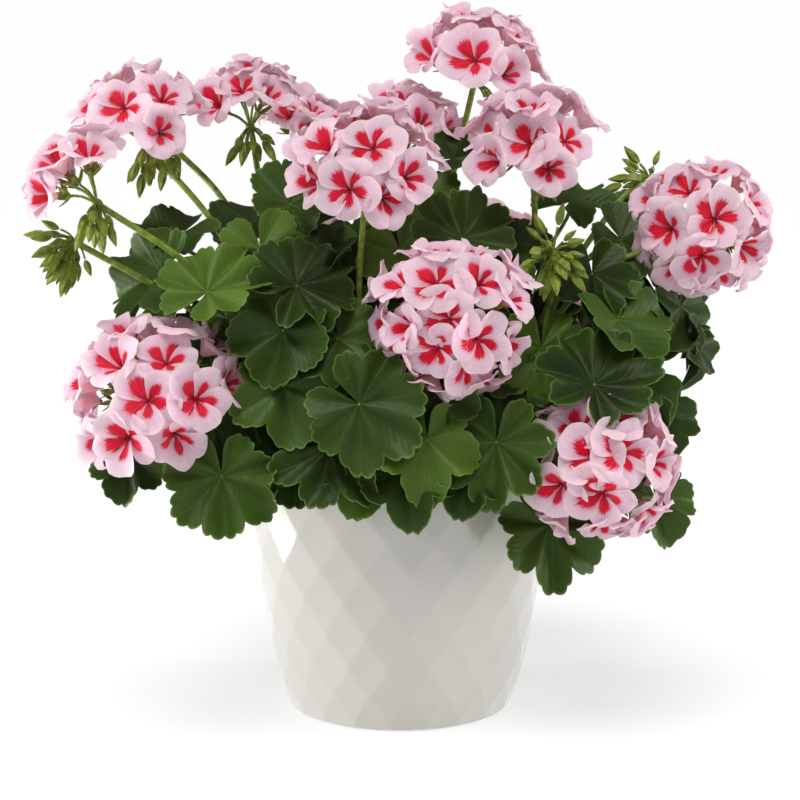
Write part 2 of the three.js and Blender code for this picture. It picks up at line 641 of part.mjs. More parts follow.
// All the pink of a head: a domed core with a hollow underside, and the flowers sunk into it
function petalsSolid(head, directions) {
  const centre = point(...head.at);
  const axis = direction(...head.faces);
  const radius = head.reach - CORE_DROP;
  const profile = [new THREE.Vector2(0, head.reach * CORE_HOLLOW)];
  for (let i = 3; i > 0; i--) {
    const angle = radians(head.opens * i / 3);
    profile.push(new THREE.Vector2(radius * Math.sin(angle), radius * Math.cos(angle)));
  }
  profile.push(new THREE.Vector2(0, radius));
  const core = solidOf(new THREE.LatheGeometry(profile, CORE_SEGMENTS));
  const turn = new THREE.Quaternion().setFromUnitVectors(point(0, 1, 0), axis);
  const domed = core.transform(new THREE.Matrix4().compose(centre, turn, point(1, 1, 1)).toArray());
  return joined([domed, ...directions.map((way, i) => {
    const sideways = point(-way.y, way.x, 1e-3).normalize().applyAxisAngle(way, 0.6 * draw(i, 20) - 0.3);
    const upwards = way.clone().cross(sideways).normalize();
    const across = upwards.clone().cross(way);
    const seat = centre.clone().addScaledVector(way, head.reach);
    return bloomSolid(head.bloom)
      .transform(new THREE.Matrix4().makeBasis(across, upwards, way).setPosition(seat).toArray());
  })]);
}

// A cone of directions round an azimuth and elevation
function fan(toward, spread, count) {
  const turn = new THREE.Quaternion().setFromUnitVectors(point(0, 0, 1), direction(...toward));
  return Array.from({ length: count }, (_, i) => direction(i * 137.508,
    90 - spread * Math.sqrt((i + 0.5) / count)).applyQuaternion(turn));
}

// A bud and its pedicel as one slim turned form, drooping a little at the tip
function budSolid(centre, way, i) {
  const [shortest, longest] = BUD_STALKS;
  const length = shortest + (longest - shortest) * draw(i, 30);
  const hang = way.clone().add(point(0, 0, -BUD_DROOP)).normalize();
  const turn = new THREE.Quaternion().setFromUnitVectors(point(0, 1, 0), hang);
  const profile = [[0, 0], [PEDICEL_RADIUS, length], [BUD_RADIUS, length + 0.38 * BUD_LENGTH],
    [0, length + BUD_LENGTH]].map(([r, y]) => new THREE.Vector2(r, y));
  return solidOf(new THREE.LatheGeometry(profile, 3)).transform(
    new THREE.Matrix4().compose(centre, turn, point(1, 1, 1)).toArray());
}

// The way that a head's stalk leaves its umbel, downwards
function stalkWay({ at, via }) {
  return point(...via[0]).sub(point(...at)).normalize();
}

// All the green of a head: the umbel's centre, pedicels that end under the core, and the buds
function umbelSolid(head, pedicels, budWays) {
  const centre = point(...head.at);
  const stalk = stalkWay(head);
  const knob = solidOf(new THREE.SphereGeometry(KNOB_RADIUS, 5, 3)).translate(head.at);
  const besideStalk = (way) => way.angleTo(stalk) > radians(STALK_ROOM);
  return joined([knob,
    ...pedicels.filter(([way]) => besideStalk(way)).map(([way, length]) => stemAlong(
      [centre, centre.clone().addScaledVector(way, length)], PEDICEL_RADIUS, 3, 1)),
    ...budWays.filter(besideStalk).map((way, i) => budSolid(centre, way, i))]);
}

// The pedicels of a head: one up the middle of the dome and some to its flowers, as far as the
// hollow under the core
function pedicelWays(head, directions) {
  const axis = direction(...head.faces);
  const top = head.reach * CORE_HOLLOW;
  const rim = radians(head.opens);
  const radius = head.reach - CORE_DROP;
  const slope = (top - radius * Math.cos(rim)) / (radius * Math.sin(rim));
  const toHollow = (way) => {
    const angle = way.angleTo(axis);
    return top / (Math.cos(angle) + slope * Math.sin(angle));
  };
  return [[axis, top - 3 * FIT], ...directions.slice(0, PEDICELS).map((way) => (
    [way, Math.min(0.88 * toHollow(way), head.reach - BLOOM_SINK) - 2]))];
}

// A shoot's stem with the stalks that it carries, each ending at the umbel's centre
function stemSolid(name) {
  const shoot = SHOOTS[name];
  const path = stemPath(shoot);
  const stem = stemAlong(path.points, STEM_RADIUS, STEM_SIDES, 5);
  const carried = [...Object.values(HEADS), ...Object.values(BUD_CLUSTERS)]
    .filter((head) => head.shoot === name);
  const [first, step] = STALK_JOINTS;
  return joined([stem, ...carried.map(({ at, via }, i) => {
    const way = [point(...at), ...via.map((spot) => point(...spot)), path.getPoint(first - step * i)];
    way[0].lerp(way[1], (KNOB_RADIUS + FIT) / way[0].distanceTo(way[1]));
    return stemAlong(way, STALK_RADIUS, STALK_SIDES, 2 * (way.length - 1));
  })]);
}

// Only the one body that holds together, with any sealed hollow filled
function wholeOf(solid) {
  return solid.decompose().sort((a, b) => b.volume() - a.volume())[0];
}

// The plant put together: heads and stems first, then the leaves between them

const nodes = [];

function addNode(name, solid, material) {
  nodes.push(meshOf(solid, name, material));
  remember(name, solid);
}

addNode('pot', makePot(), GLAZE);
addNode('soil', makeSoil(), SOIL);
for (const [name, head] of Object.entries(HEADS)) {
  const directions = bloomDirections(head);
  const clearOfDome = (way) => way.angleTo(direction(...head.faces)) > radians(head.opens + DOME_ROOM);
  const budWays = fan(head.budsToward, BUD_SPREAD, head.buds).filter(clearOfDome);
  addNode(`head_${name}_petals`, wholeOf(petalsSolid(head, directions)), PETAL);
  addNode(`head_${name}_stalks`, wholeOf(umbelSolid(head, pedicelWays(head, directions), budWays)), STALK);
}
for (const [name, cluster] of Object.entries(BUD_CLUSTERS)) {
  const budWays = fan(cluster.toward, cluster.spread, cluster.count);
  addNode(name, wholeOf(umbelSolid(cluster, [], budWays)), STALK);
}

const stems = {};
const leavesOf = {};
for (const name of Object.keys(SHOOTS)) {
  stems[name] = stemSolid(name);
  leavesOf[name] = [];
  remember(name, stems[name]);
}
[...FRONT_LEAVES, ...crownLeaves()].forEach(growLeaf);
for (const name of Object.keys(SHOOTS)) {
  nodes.push(meshOf(wholeOf(joined([stems[name], ...leavesOf[name]])), `shoot_${name}`, LEAF));
}

const plant = new THREE.Group();
plant.add(...nodes);

export default plant;
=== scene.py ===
# %% [markdown]
# # A potted geranium, dressed for a picture
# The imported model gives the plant's frame: a faceted pot, soil, nine leafy shoots, sixteen heads of
# flowers and four clusters of buds, all as plain flat-sided solids. This script keeps their places and
# sizes, and lays over each of them a finer surface worked out with numpy, with a finish made of nodes.
# Lengths are in millimetres until a piece is made, because that is how such a plant is measured. Only
# the floor and the lamps are placed in metres.

import math

import bpy
import numpy as np
from mathutils import Matrix


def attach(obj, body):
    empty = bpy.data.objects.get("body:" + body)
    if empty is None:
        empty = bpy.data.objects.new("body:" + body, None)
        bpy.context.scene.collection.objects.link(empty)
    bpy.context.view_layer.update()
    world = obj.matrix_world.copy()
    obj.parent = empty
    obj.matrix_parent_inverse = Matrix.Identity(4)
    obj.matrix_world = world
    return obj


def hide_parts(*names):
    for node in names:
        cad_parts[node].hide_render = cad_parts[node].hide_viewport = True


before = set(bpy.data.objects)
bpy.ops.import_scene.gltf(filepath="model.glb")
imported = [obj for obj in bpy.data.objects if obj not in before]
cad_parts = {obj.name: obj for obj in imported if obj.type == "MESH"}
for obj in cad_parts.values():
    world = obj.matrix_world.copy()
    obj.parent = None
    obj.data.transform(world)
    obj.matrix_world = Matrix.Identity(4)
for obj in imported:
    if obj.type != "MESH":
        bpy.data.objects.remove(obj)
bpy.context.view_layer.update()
MM = 0.001
print("CAD nodes:", len(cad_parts))

# %% [markdown]
# ## Directions, turns and draws
# A plant is made of the same few forms again and again, each a little different. Random numbers would
# change the plant on every run, so each difference comes from a repeatable draw: the fractional part of
# a sum of irrational steps, which spreads evenly from 0 to 1.


# %% Draws and directions
PIECE_STEP, PROPERTY_STEP, CROSS_STEP = 0.6180339887, 0.7548776662, 0.1031
GOLDEN_ANGLE = 137.508      # degrees from one place of a spiral to the next, so that none line up
FULL_TURN = 6.28            # radians, for the phase of a wave


def draw(n, k):
    """From 0 to 1 for the n-th piece and the k-th of its properties: the fractional part of a sum."""
    return (0.5 + n * PIECE_STEP + k * PROPERTY_STEP + n * k * CROSS_STEP) % 1


def unit(vectors):
    """The vectors at length 1."""
    return vectors / np.linalg.norm(vectors, axis=-1, keepdims=True)


def direction(azimuth, elevation):
    """The unit vector that looks to this azimuth and elevation in degrees."""
    a, e = np.broadcast_arrays(np.radians(azimuth), np.radians(elevation))
    return np.stack([np.cos(e) * np.cos(a), np.cos(e) * np.sin(a), np.sin(e)], axis=-1)


def turned(vector, axis, angle):
    """The vector turned about a unit axis: its part along the axis stays, the rest swings round."""
    kept = axis * np.sum(vector * axis, axis=-1, keepdims=True)
    return kept + (vector - kept) * np.cos(angle) + np.cross(axis, vector) * np.sin(angle)


def carried(vectors, start, end):
    """The vectors after the shortest turn that takes unit vector start to unit vector end."""
    pivot, cosine = np.cross(start, end), np.dot(start, end)
    along = np.sum(vectors * pivot, axis=-1, keepdims=True)
    return vectors * cosine + np.cross(pivot, vectors) + pivot * along / (1 + cosine)


UP = np.array([0.0, 0.0, 1.0])
print("a draw:", round(draw(3, 7), 4), "front:", direction(-90, 0).round(3))

# %% [markdown]
# ## Camera
# The camera stands 1.6 m away with a long lens and looks down by 10 degrees, which gives the pot's
# foot its narrow ellipse. The lens is worked out from the pot: 0.64 mm to a pixel at its middle in a
# frame of 800 pixels.

# %% Camera
VIEW_DOWN = 10
VIEW_DISTANCE = 1600
VIEW_HEIGHT = 198.5         # of the point over the pot's middle that the camera looks at
FRAME_PIXELS = 800
MM_PER_PIXEL = 0.64
SENSOR = 36
FAR_CLIP = 200              # metres, past the corners of the floor

camera = bpy.data.objects.new("camera", bpy.data.cameras.new("camera"))
bpy.context.scene.collection.objects.link(camera)
tilt = math.radians(VIEW_DOWN)
camera.location = (0, -VIEW_DISTANCE * MM * math.cos(tilt),
                   (VIEW_HEIGHT + VIEW_DISTANCE * math.sin(tilt)) * MM)
camera.rotation_euler = (math.pi / 2 - tilt, 0, 0)
camera.data.sensor_width = SENSOR
camera.data.lens = SENSOR * VIEW_DISTANCE / (FRAME_PIXELS * MM_PER_PIXEL)
camera.data.clip_end = FAR_CLIP
bpy.context.scene.camera = camera
print("lens:", round(camera.data.lens, 1), "mm")

# %% [markdown]
# ## Nodes and colours
# Each finish is a small graph of shader nodes. One helper adds a node, sets its values and links what
# feeds it. Colours are written as on a colour card, in sRGB hex, and turned to the linear values that
# shaders work with. A noise's scale is a count to the metre here, since the pieces are in metres.


# %% Colours and nodes
def linear(colour):
    """An sRGB hex colour as linear red, green, blue and 1."""
    parts = [int(colour[i:i + 2], 16) / 255 for i in (1, 3, 5)]
    return (*[c / 12.92 if c < 0.04045 else ((c + 0.055) / 1.055) ** 2.4 for c in parts], 1)


def add(tree, kind, settings=None, links=None):
    """Adds a node: settings are its own properties or its sockets' values, links what feeds a socket."""
    made = tree.nodes.new("ShaderNode" + kind)
    for name, value in (settings or {}).items():
        if isinstance(name, str) and name in made.bl_rna.properties:
            setattr(made, name, value)
        else:
            made.inputs[name].default_value = value
    for name, source in (links or {}).items():
        tree.links.new(getattr(source, "outputs", [source])[0], made.inputs[name])
    return made


def start_finish(name):
    """A new material with an empty graph and its output node."""
    material = bpy.data.materials.new(name)
    material.use_nodes = True
    material.node_tree.nodes.clear()
    return material, material.node_tree, material.node_tree.nodes.new("ShaderNodeOutputMaterial")


print("a middle grey in linear light:", [round(c, 3) for c in linear("#808080")[:3]])

# %% [markdown]
# ## Shapes from grids
# Leaves, petals and sepals are all thin sheets, and stems, stalks and buds are all tubes. So two
# functions make nearly every surface here. One thickens grids of points into closed sheets, the other
# carries rings along lines. Both work on many copies at once, as whole arrays.


# %% Sheets
def quads(a, b, c, d):
    """Four arrays of point numbers as rows of four corners."""
    return np.stack([a, b, c, d], axis=-1).reshape(-1, 4)


def sheets(grids, thickness):
    """Closed thin sheets. grids is (sheets, rows, columns, 3). Each point goes half the thickness out
    and half in along the cross product of the grid's two directions; a band of faces closes the rim."""
    normal = unit(np.cross(np.gradient(grids, axis=1), np.gradient(grids, axis=2)))
    points = np.stack([grids + normal * thickness / 2, grids - normal * thickness / 2], axis=1)
    count, _, rows, columns, _ = points.shape
    top, under = np.arange(2 * rows * columns).reshape(2, rows, columns)
    rim = [np.concatenate([face[:-1, 0], face[-1, :-1], face[:0:-1, -1], face[0, :0:-1]])
           for face in (top, under)]
    one = np.concatenate([
        quads(top[:-1, :-1], top[1:, :-1], top[1:, 1:], top[:-1, 1:]),
        quads(under[:-1, :-1], under[:-1, 1:], under[1:, 1:], under[1:, :-1]),
        quads(np.roll(rim[0], -1), rim[0], rim[1], np.roll(rim[1], -1)),
    ])
    shift = np.arange(count)[:, None, None] * 2 * rows * columns
    return points.reshape(-1, 3), [(one + shift).reshape(-1, 4)]


def on_both(values, grids):
    """A value for each point of the grids, for the upper and the lower face of their sheets."""
    return np.repeat(np.broadcast_to(values, grids.shape[:3])[:, None], 2, axis=1).ravel()


square = np.array([[[[0, 0, 0], [0, 1, 0]], [[1, 0, 0], [1, 1, 0]]]])
print("a square as a closed sheet:", len(sheets(square, 0.1)[1][0]), "faces")

# %% [markdown]
# A tube needs a line, a radius for each of its stations and a count of sides. The lines themselves are
# drawn as smooth curves through a few points, the way that a stem grows past its neighbours.


# %% Tubes
def tubes(lines, radii, sides, ribs=0, rib_depth=0):
    """Closed tubes. lines is (tubes, stations, 3), radii (tubes, stations). Each ring stands square to
    the line: centre + radius * (side * cos + other * sin), with ribs if asked. A fan of faces round
    the line's own end closes each end."""
    lines, radii = np.asarray(lines, float), np.broadcast_to(radii, np.shape(lines)[:2])
    tangent = unit(np.gradient(lines, axis=1))
    least = np.eye(3)[np.argmin(np.abs(tangent.mean(axis=1)), axis=-1)][:, None]
    side = unit(np.cross(tangent, least))
    other = np.cross(tangent, side)
    turn = 2 * np.pi * np.arange(sides) / sides
    ring = side[:, :, None] * np.cos(turn)[:, None] + other[:, :, None] * np.sin(turn)[:, None]
    reach = radii[:, :, None, None] * (1 + rib_depth * np.cos(ribs * turn))[:, None]
    walls = lines[:, :, None] + reach * ring
    count, stations = lines.shape[:2]
    points = np.concatenate([walls.reshape(count, -1, 3), lines[:, [0, -1]]], axis=1)
    numbers = np.arange(stations * sides).reshape(stations, sides)
    after = np.roll(numbers, -1, axis=1)
    wall = quads(numbers[:-1], after[:-1], after[1:], numbers[1:])
    first, last = stations * sides, stations * sides + 1
    caps = np.concatenate([
        np.stack([after[0], numbers[0], np.full(sides, first)], axis=-1),
        np.stack([numbers[-1], after[-1], np.full(sides, last)], axis=-1),
    ])
    shift = np.arange(count)[:, None, None] * (stations * sides + 2)
    return points.reshape(-1, 3), [(wall + shift).reshape(-1, 4), (caps + shift).reshape(-1, 3)]


def on_tubes(values, lines, sides):
    """A value for each station of the lines, for the points of their tubes."""
    values = np.broadcast_to(values, np.shape(lines)[:2])
    walls = np.repeat(values[:, :, None], sides, axis=2).reshape(len(values), -1)
    return np.concatenate([walls, values[:, [0, -1]]], axis=1).ravel()


def curve(controls, shares):
    """Points of a smooth curve at shares of its way through the controls: a Catmull-Rom curve whose
    spans are as long as the square roots of the distances, so that it doesn't loop at a close point."""
    controls = np.asarray(controls, float)
    padded = np.concatenate([2 * controls[:1] - controls[1:2], controls,
                             2 * controls[-1:] - controls[-2:-1]])
    spans = len(controls) - 1
    place = np.clip(np.asarray(shares, float) * spans, 0, spans - 1e-9)
    i = place.astype(int)
    w = (place - i)[:, None]
    p0, p1, p2, p3 = (padded[i + k] for k in range(4))
    d0, d1, d2 = (np.linalg.norm(b - a, axis=-1, keepdims=True) ** 0.5
                  for a, b in ((p0, p1), (p1, p2), (p2, p3)))
    leave = ((p1 - p0) / d0 - (p2 - p0) / (d0 + d1) + (p2 - p1) / d1) * d1
    reach = ((p2 - p1) / d1 - (p3 - p1) / (d1 + d2) + (p3 - p2) / d2) * d1
    return (p1 + leave * w + (3 * (p2 - p1) - 2 * leave - reach) * w ** 2
            + (2 * (p1 - p2) + leave + reach) * w ** 3)


print("half way along a bend:", curve([[0, 0, 0], [0, 0, 10], [5, 0, 15]], [0.5])[0].round(1))

# %% [markdown]
# A piece of the plant is many such shapes joined in one mesh. The mesh carries more than points: a
# pattern's coordinates, and values such as how old a stem is at each point, which the finishes read.


# %% Meshes from shapes
def part(shape, uv=None, **values):
    """Points and faces of a shape with its pattern coordinates and its value for each point."""
    return {"points": shape[0], "faces": shape[1], "uv": uv, "values": values}


print("points of the square's part:", len(part(sheets(square, 0.1))["points"]))

CRISP_ANGLE = 50        # an edge bent more than this stays crisp, as the thin rim of a petal is
triangle_counts = []


def make_piece(name, parts, material, replaces=()):
    """Joins the parts in one mesh in metres, with their values as attributes, and rides it on the
    part's one body."""
    points = np.concatenate([p["points"] for p in parts]) * MM
    starts = np.cumsum([0] + [len(p["points"]) for p in parts])
    faces = [face + start for p, start in zip(parts, starts) for face in p["faces"]]
    sizes = np.concatenate([np.full(len(face), face.shape[1]) for face in faces])
    corners = np.concatenate([face.ravel() for face in faces])
    mesh = bpy.data.meshes.new(name)
    mesh.vertices.add(len(points))
    mesh.vertices.foreach_set("co", points.astype(np.float32).ravel())
    mesh.loops.add(len(corners))
    mesh.loops.foreach_set("vertex_index", corners.astype(np.int32))
    mesh.polygons.add(len(sizes))
    mesh.polygons.foreach_set("loop_start", (np.cumsum(sizes) - sizes).astype(np.int32))
    mesh.update(calc_edges=True)
    mesh.polygons.foreach_set("use_smooth", np.full(len(sizes), True))
    if parts[0]["uv"] is not None:
        uv = np.concatenate([p["uv"] for p in parts])[corners]
        mesh.uv_layers.new(name="pattern").data.foreach_set("uv", uv.astype(np.float32).ravel())
    for key in parts[0]["values"]:
        values = np.concatenate([p["values"][key] for p in parts]).astype(np.float32)
        mesh.attributes.new(key, "FLOAT", "POINT").data.foreach_set("value", values)
    mesh.validate()
    mesh.set_sharp_from_angle(angle=math.radians(CRISP_ANGLE))
    mesh.materials.append(material)
    piece = bpy.data.objects.new(name, mesh)
    bpy.context.scene.collection.objects.link(piece)
    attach(piece, "root")
    if replaces:
        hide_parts(*replaces)
    triangles = int((sizes - 2).sum())
    triangle_counts.append(triangles)
    print(f"{name}: {triangles} triangles")


# %% [markdown]
# ## The pot
# The real pot is cast earthenware with a thick white glaze. Its wall is pressed into a net of tall
# diamonds, 20 round. Flat facets with hard edges would look like folded card, so the wall here is one
# height field: each diamond lies square to its own direction, a little hollow from top to bottom, and
# then the whole field is softened by about a millimetre, as a glaze fills and rounds the ridges.

# %% Pot wall
POT_HEIGHT = 170
POT_RADII = [[0, 69], [3, 72.5], [23.5, 79.4], [44, 83.9], [64.5, 87.6], [85, 91],
             [105.5, 94], [126, 96], [146.5, 97.6], [167, 98.8]]    # height and radius
POT_DIAMONDS = 20
POT_PATTERN_TURN = -95                      # degrees, where the first corner stands
POT_FLOOR = 6                               # height of the floor inside
POT_INSIDE = [[POT_FLOOR, 64], [12, 69.5], [85, 85.5], [168, 93.5]]
PATTERN_LOW, PATTERN_HIGH = 3, 167
MIDDLE_RADIUS = 90      # half way up, which gives the width of a column in millimetres
RIDGE_BLUR = 0.6        # the glaze's rounding of the ridges, as a spread in millimetres
WALL_COLUMNS, WALL_ROWS = 400, 124


def facet_radius(azimuth, z):
    """The wall's radius: the distance of a diamond's plane over the cosine of the turn from its middle.
    Diamonds are the cells of the two sets of slanting lines u + v/2 and u - v/2."""
    heights, radii = np.array(POT_RADII[1:]).T
    corner = 360 / POT_DIAMONDS
    u = (azimuth - POT_PATTERN_TURN) / corner
    v = np.interp(z, heights, np.arange(len(heights)))
    first, second = np.floor(u + v / 2), np.floor(u - v / 2)
    row, middle = first - second, (first + second + 1) / 2
    longer = [2 * radii[0] - radii[1], *radii, 2 * radii[-1] - radii[-2]]
    below, here, above = (np.interp(row + k, np.arange(-1, len(radii) + 1), longer)
                          for k in (-1, 0, 1))
    share = v - row
    across = (below + above) / 2
    hollow = across - here * math.cos(math.radians(corner / 2))
    plane = across + (above - below) / 2 * share - hollow * (1 - share ** 2)
    return plane / np.cos(np.radians(corner * (u - middle)))


def softened(field, spread, wrap):
    """The field blurred along its last axis by a bell curve with this spread, in grid steps."""
    reach = int(3 * spread) + 1
    steps = np.arange(-reach, reach + 1)
    weights = np.exp(-0.5 * (steps / spread) ** 2)
    mode = "wrap" if wrap else "edge"
    wide = np.pad(field, [(0, 0), (reach, reach)], mode=mode)
    return sum(w * wide[:, k:k + field.shape[1]] for k, w in enumerate(weights / weights.sum()))


azimuths = np.arange(WALL_COLUMNS) * 360 / WALL_COLUMNS
wall_z = np.linspace(PATTERN_LOW, PATTERN_HIGH, WALL_ROWS)
wall_r = facet_radius(azimuths[None], wall_z[:, None])
column_step = 2 * math.pi * MIDDLE_RADIUS / WALL_COLUMNS
row_step = (PATTERN_HIGH - PATTERN_LOW) / (WALL_ROWS - 1)
wall_r = softened(wall_r, RIDGE_BLUR / column_step, wrap=True)
wall_r = softened(wall_r.T, RIDGE_BLUR / row_step, wrap=False).T
print("pot wall radius:", wall_r.min().round(1), "to", wall_r.max().round(1), "mm")

# %% [markdown]
# Below the pattern the wall turns in to a narrow foot. Above it a rounded rim turns over to a smooth
# inside wall, which goes down to a flat floor under the soil. All these rings have as many points as
# the patterned wall, so one skin closes the pot from the middle of its underside to the middle of its
# floor.

# %% Pot
FOOT_ROUND = [[0.0, 66.5], [0.35, 69.2], [1.3, 71.2]]   # height and radius of the foot's turn
RIM_ROUND = [[168.6, 98.3], [169.6, 97.2], [170.0, 96.0], [169.7, 94.8], [168.9, 94.0]]


def lathe_skin(rings, low_pole, high_pole):
    """Rings of equal counts, (rings, points, 3), skinned from a pole below to a pole above."""
    count, around = rings.shape[:2]
    numbers = np.arange(count * around).reshape(count, around)
    after = np.roll(numbers, -1, axis=1)
    walls = quads(numbers[:-1], after[:-1], after[1:], numbers[1:])
    poles = np.concatenate([
        np.stack([after[0], numbers[0], np.full(around, count * around)], axis=-1),
        np.stack([numbers[-1], after[-1], np.full(around, count * around + 1)], axis=-1),
    ])
    points = np.concatenate([rings.reshape(-1, 3), [low_pole, high_pole]])
    return points, [walls, poles]


def round_ring(z, radius):
    """A ring at height z with one radius, or one for each azimuth."""
    a = np.radians(azimuths)
    return np.stack([radius * np.cos(a), radius * np.sin(a), np.full(WALL_COLUMNS, float(z))], axis=-1)


rings = [round_ring(z, r) for z, r in FOOT_ROUND]
rings += [round_ring(z, r) for z, r in zip(wall_z, wall_r)]
rings += [round_ring(z, r) for z, r in RIM_ROUND]
rings += [round_ring(z, r) for z, r in reversed(POT_INSIDE)]
pot_shape = lathe_skin(np.stack(rings), [0, 0, 0], [0, 0, POT_FLOOR])
print("rings of the pot:", len(rings))

# %% [markdown]
# The glaze is white with the faintest warm grey, glassy, and never quite level: slow waves some
# 30 mm across bend the reflections. A thin clear coat over a slightly rougher white body gives the
# depth that a single gloss lacks. The hex colours are greyer than the pot looks, because the strong
# light lifts them to white, and they leave room for the diamonds to differ.

# %% Glazed earthenware
MOTTLES_PER_METRE = 7       # patches of about 140 mm
WAVES_PER_METRE = 33        # waves of about 30 mm
glaze, tree, out = start_finish("white glazed earthenware")
place = add(tree, "TexCoord").outputs["Object"]
mottle = add(tree, "TexNoise", {"Scale": MOTTLES_PER_METRE, "Detail": 1}, {"Vector": place})
tint = add(tree, "ValToRGB", links={"Fac": mottle.outputs["Fac"]})
tint.color_ramp.elements[0].position, tint.color_ramp.elements[1].position = 0.3, 0.7
tint.color_ramp.elements[0].color = linear("#c4c1bb")
tint.color_ramp.elements[1].color = linear("#c8c5bf")
waves = add(tree, "TexNoise", {"Scale": WAVES_PER_METRE, "Detail": 1}, {"Vector": place})
swell = add(tree, "Bump", {"Strength": 0.02, "Distance": 0.002}, {"Height": waves.outputs["Fac"]})
shader = add(tree, "BsdfPrincipled",
             {"Roughness": 0.22, "IOR": 1.5, "Coat Weight": 0.9, "Coat Roughness": 0.04},
             {"Base Color": tint.outputs["Color"], "Normal": swell})
tree.links.new(shader.outputs[0], out.inputs[0])
make_piece("glazed_pot", [part(pot_shape)], glaze, ["pot"])

# %% [markdown]
# ## The soil
# Potting soil is crumbled peat and bark: dark, matt, and rough at every size from twigs to dust. A flat
# disc with roughness in its finish alone would keep a straight edge against the pot. So its top here is
# a disc of rings whose heights are a sum of crossed waves, with crumbs from a finer set. Its side
# follows the pot's inside wall, a little more than half a millimetre away from it.

# %% Soil
SOIL_TOP = 150
SOIL_FOOT = 6.3
SOIL_GAP = 0.6          # to the pot's inside wall
SOIL_COLUMNS = 220
SOIL_RINGS = 52
SOIL_RADII = [91.2, 2.0]        # of its outermost and its innermost ring


def crumbs(x, y):
    """Heights of the soil's top: slow swells, lumps of about 9 mm and finer crumbs."""
    swells = 1.2 * np.sin(x / 17 + 1) * np.cos(y / 21)
    lumps = 0.9 * np.sin(x / 2.9 + 2 * np.sin(y / 4.1)) * np.cos(y / 3.3 + 2 * np.sin(x / 5.3))
    fine = 0.5 * np.sin(x * 2.1 + 3 * np.sin(y * 0.9)) * np.sin(y * 2.3 + 3 * np.sin(x * 1.1))
    return swells + lumps + fine


soil_a = np.radians(np.arange(SOIL_COLUMNS) * 360 / SOIL_COLUMNS)
soil_r = np.linspace(*SOIL_RADII, SOIL_RINGS)[:, None]
soil_x, soil_y = soil_r * np.cos(soil_a), soil_r * np.sin(soil_a)
soil_z = SOIL_TOP + 0.5 + crumbs(soil_x, soil_y)
side_z = np.array([SOIL_FOOT, 12, 50, 85, 120, 146])[:, None]
side_r = np.interp(side_z, *np.array(POT_INSIDE).T) - SOIL_GAP
side = np.stack([side_r * np.cos(soil_a), side_r * np.sin(soil_a), side_z + 0 * soil_a], axis=-1)
top = np.stack([soil_x, soil_y, soil_z], axis=-1)
soil_shape = lathe_skin(np.concatenate([side, top]), [0, 0, SOIL_FOOT], [0, 0, SOIL_TOP + 1])
print("soil height:", soil_z.min().round(1), "to", soil_z.max().round(1), "mm")

# %% [markdown]
# Damp peat is nearly black and a crumb of bark that dries in the light is brown. A fine noise gives
# both the colour and the relief, so that each pale speck also stands up and each hollow is darkest,
# which is partly painted shade.

# %% Peat and bark
GRAINS_PER_METRE = 420      # grit of about 2.4 mm
peat, tree, out = start_finish("damp peat and bark")
place = add(tree, "TexCoord").outputs["Object"]
grit = add(tree, "TexNoise", {"Scale": GRAINS_PER_METRE, "Detail": 4}, {"Vector": place})
# darkest where the noise sinks the surface: the peat's own dark, and painted shade in the hollows
tint = add(tree, "ValToRGB", links={"Fac": grit.outputs["Fac"]})
tint.color_ramp.elements[0].position, tint.color_ramp.elements[1].position = 0.3, 0.75
tint.color_ramp.elements[0].color = linear("#1c140f")
tint.color_ramp.elements[1].color = linear("#5d4634")
rough = add(tree, "Bump", {"Strength": 0.9, "Distance": 0.002}, {"Height": grit.outputs["Fac"]})
shader = add(tree, "BsdfPrincipled", {"Roughness": 0.95},
             {"Base Color": tint.outputs["Color"], "Normal": rough})
tree.links.new(shader.outputs[0], out.inputs[0])
make_piece("potting_soil", [part(soil_shape)], peat, ["soil"])

# %% [markdown]
# ## The plant's plan
# These are the places that the CAD model is built from: where each shoot stands and ends, the heads
# with the way that their domes face and where their flowers show from the front, the bud clusters, and
# the leaves that show from the front. The leaves of the other sides follow a spiral.

# %% Shoots
# where each stem leaves the soil, and where it ends
SHOOTS = {
    "front_left": {"base": [-26, -36], "top": [-62, -66, 214]},
    "front": {"base": [6, -46], "top": [6, -76, 222]},
    "front_right": {"base": [36, -34], "top": [68, -62, 206]},
    "right": {"base": [48, 2], "top": [88, -22, 246]},
    "left": {"base": [-48, 2], "top": [-90, -24, 246]},
    "middle": {"base": [2, 6], "top": [8, 6, 262]},
    "back_left": {"base": [-32, 36], "top": [-66, 66, 232]},
    "back": {"base": [4, 50], "top": [8, 88, 226]},
    "back_right": {"base": [36, 36], "top": [72, 60, 232]},
}
print("shoots:", len(SHOOTS))

# %% Heads


def head(at, faces, opens, reach, bloom, shoot, via, buds=(0, 0, 0), shows=()):
    """An umbel: its centre, the azimuth and elevation that its dome faces, how far the dome opens in
    degrees, how far its flowers stand out, their radius, its shoot, the points that its stalk passes,
    its count of buds with their azimuth and elevation, and where flowers show from the front."""
    return {"at": np.array(at, float), "faces": faces, "opens": opens, "reach": reach,
            "bloom": bloom, "shoot": shoot, "via": via, "buds": buds, "shows": shows}


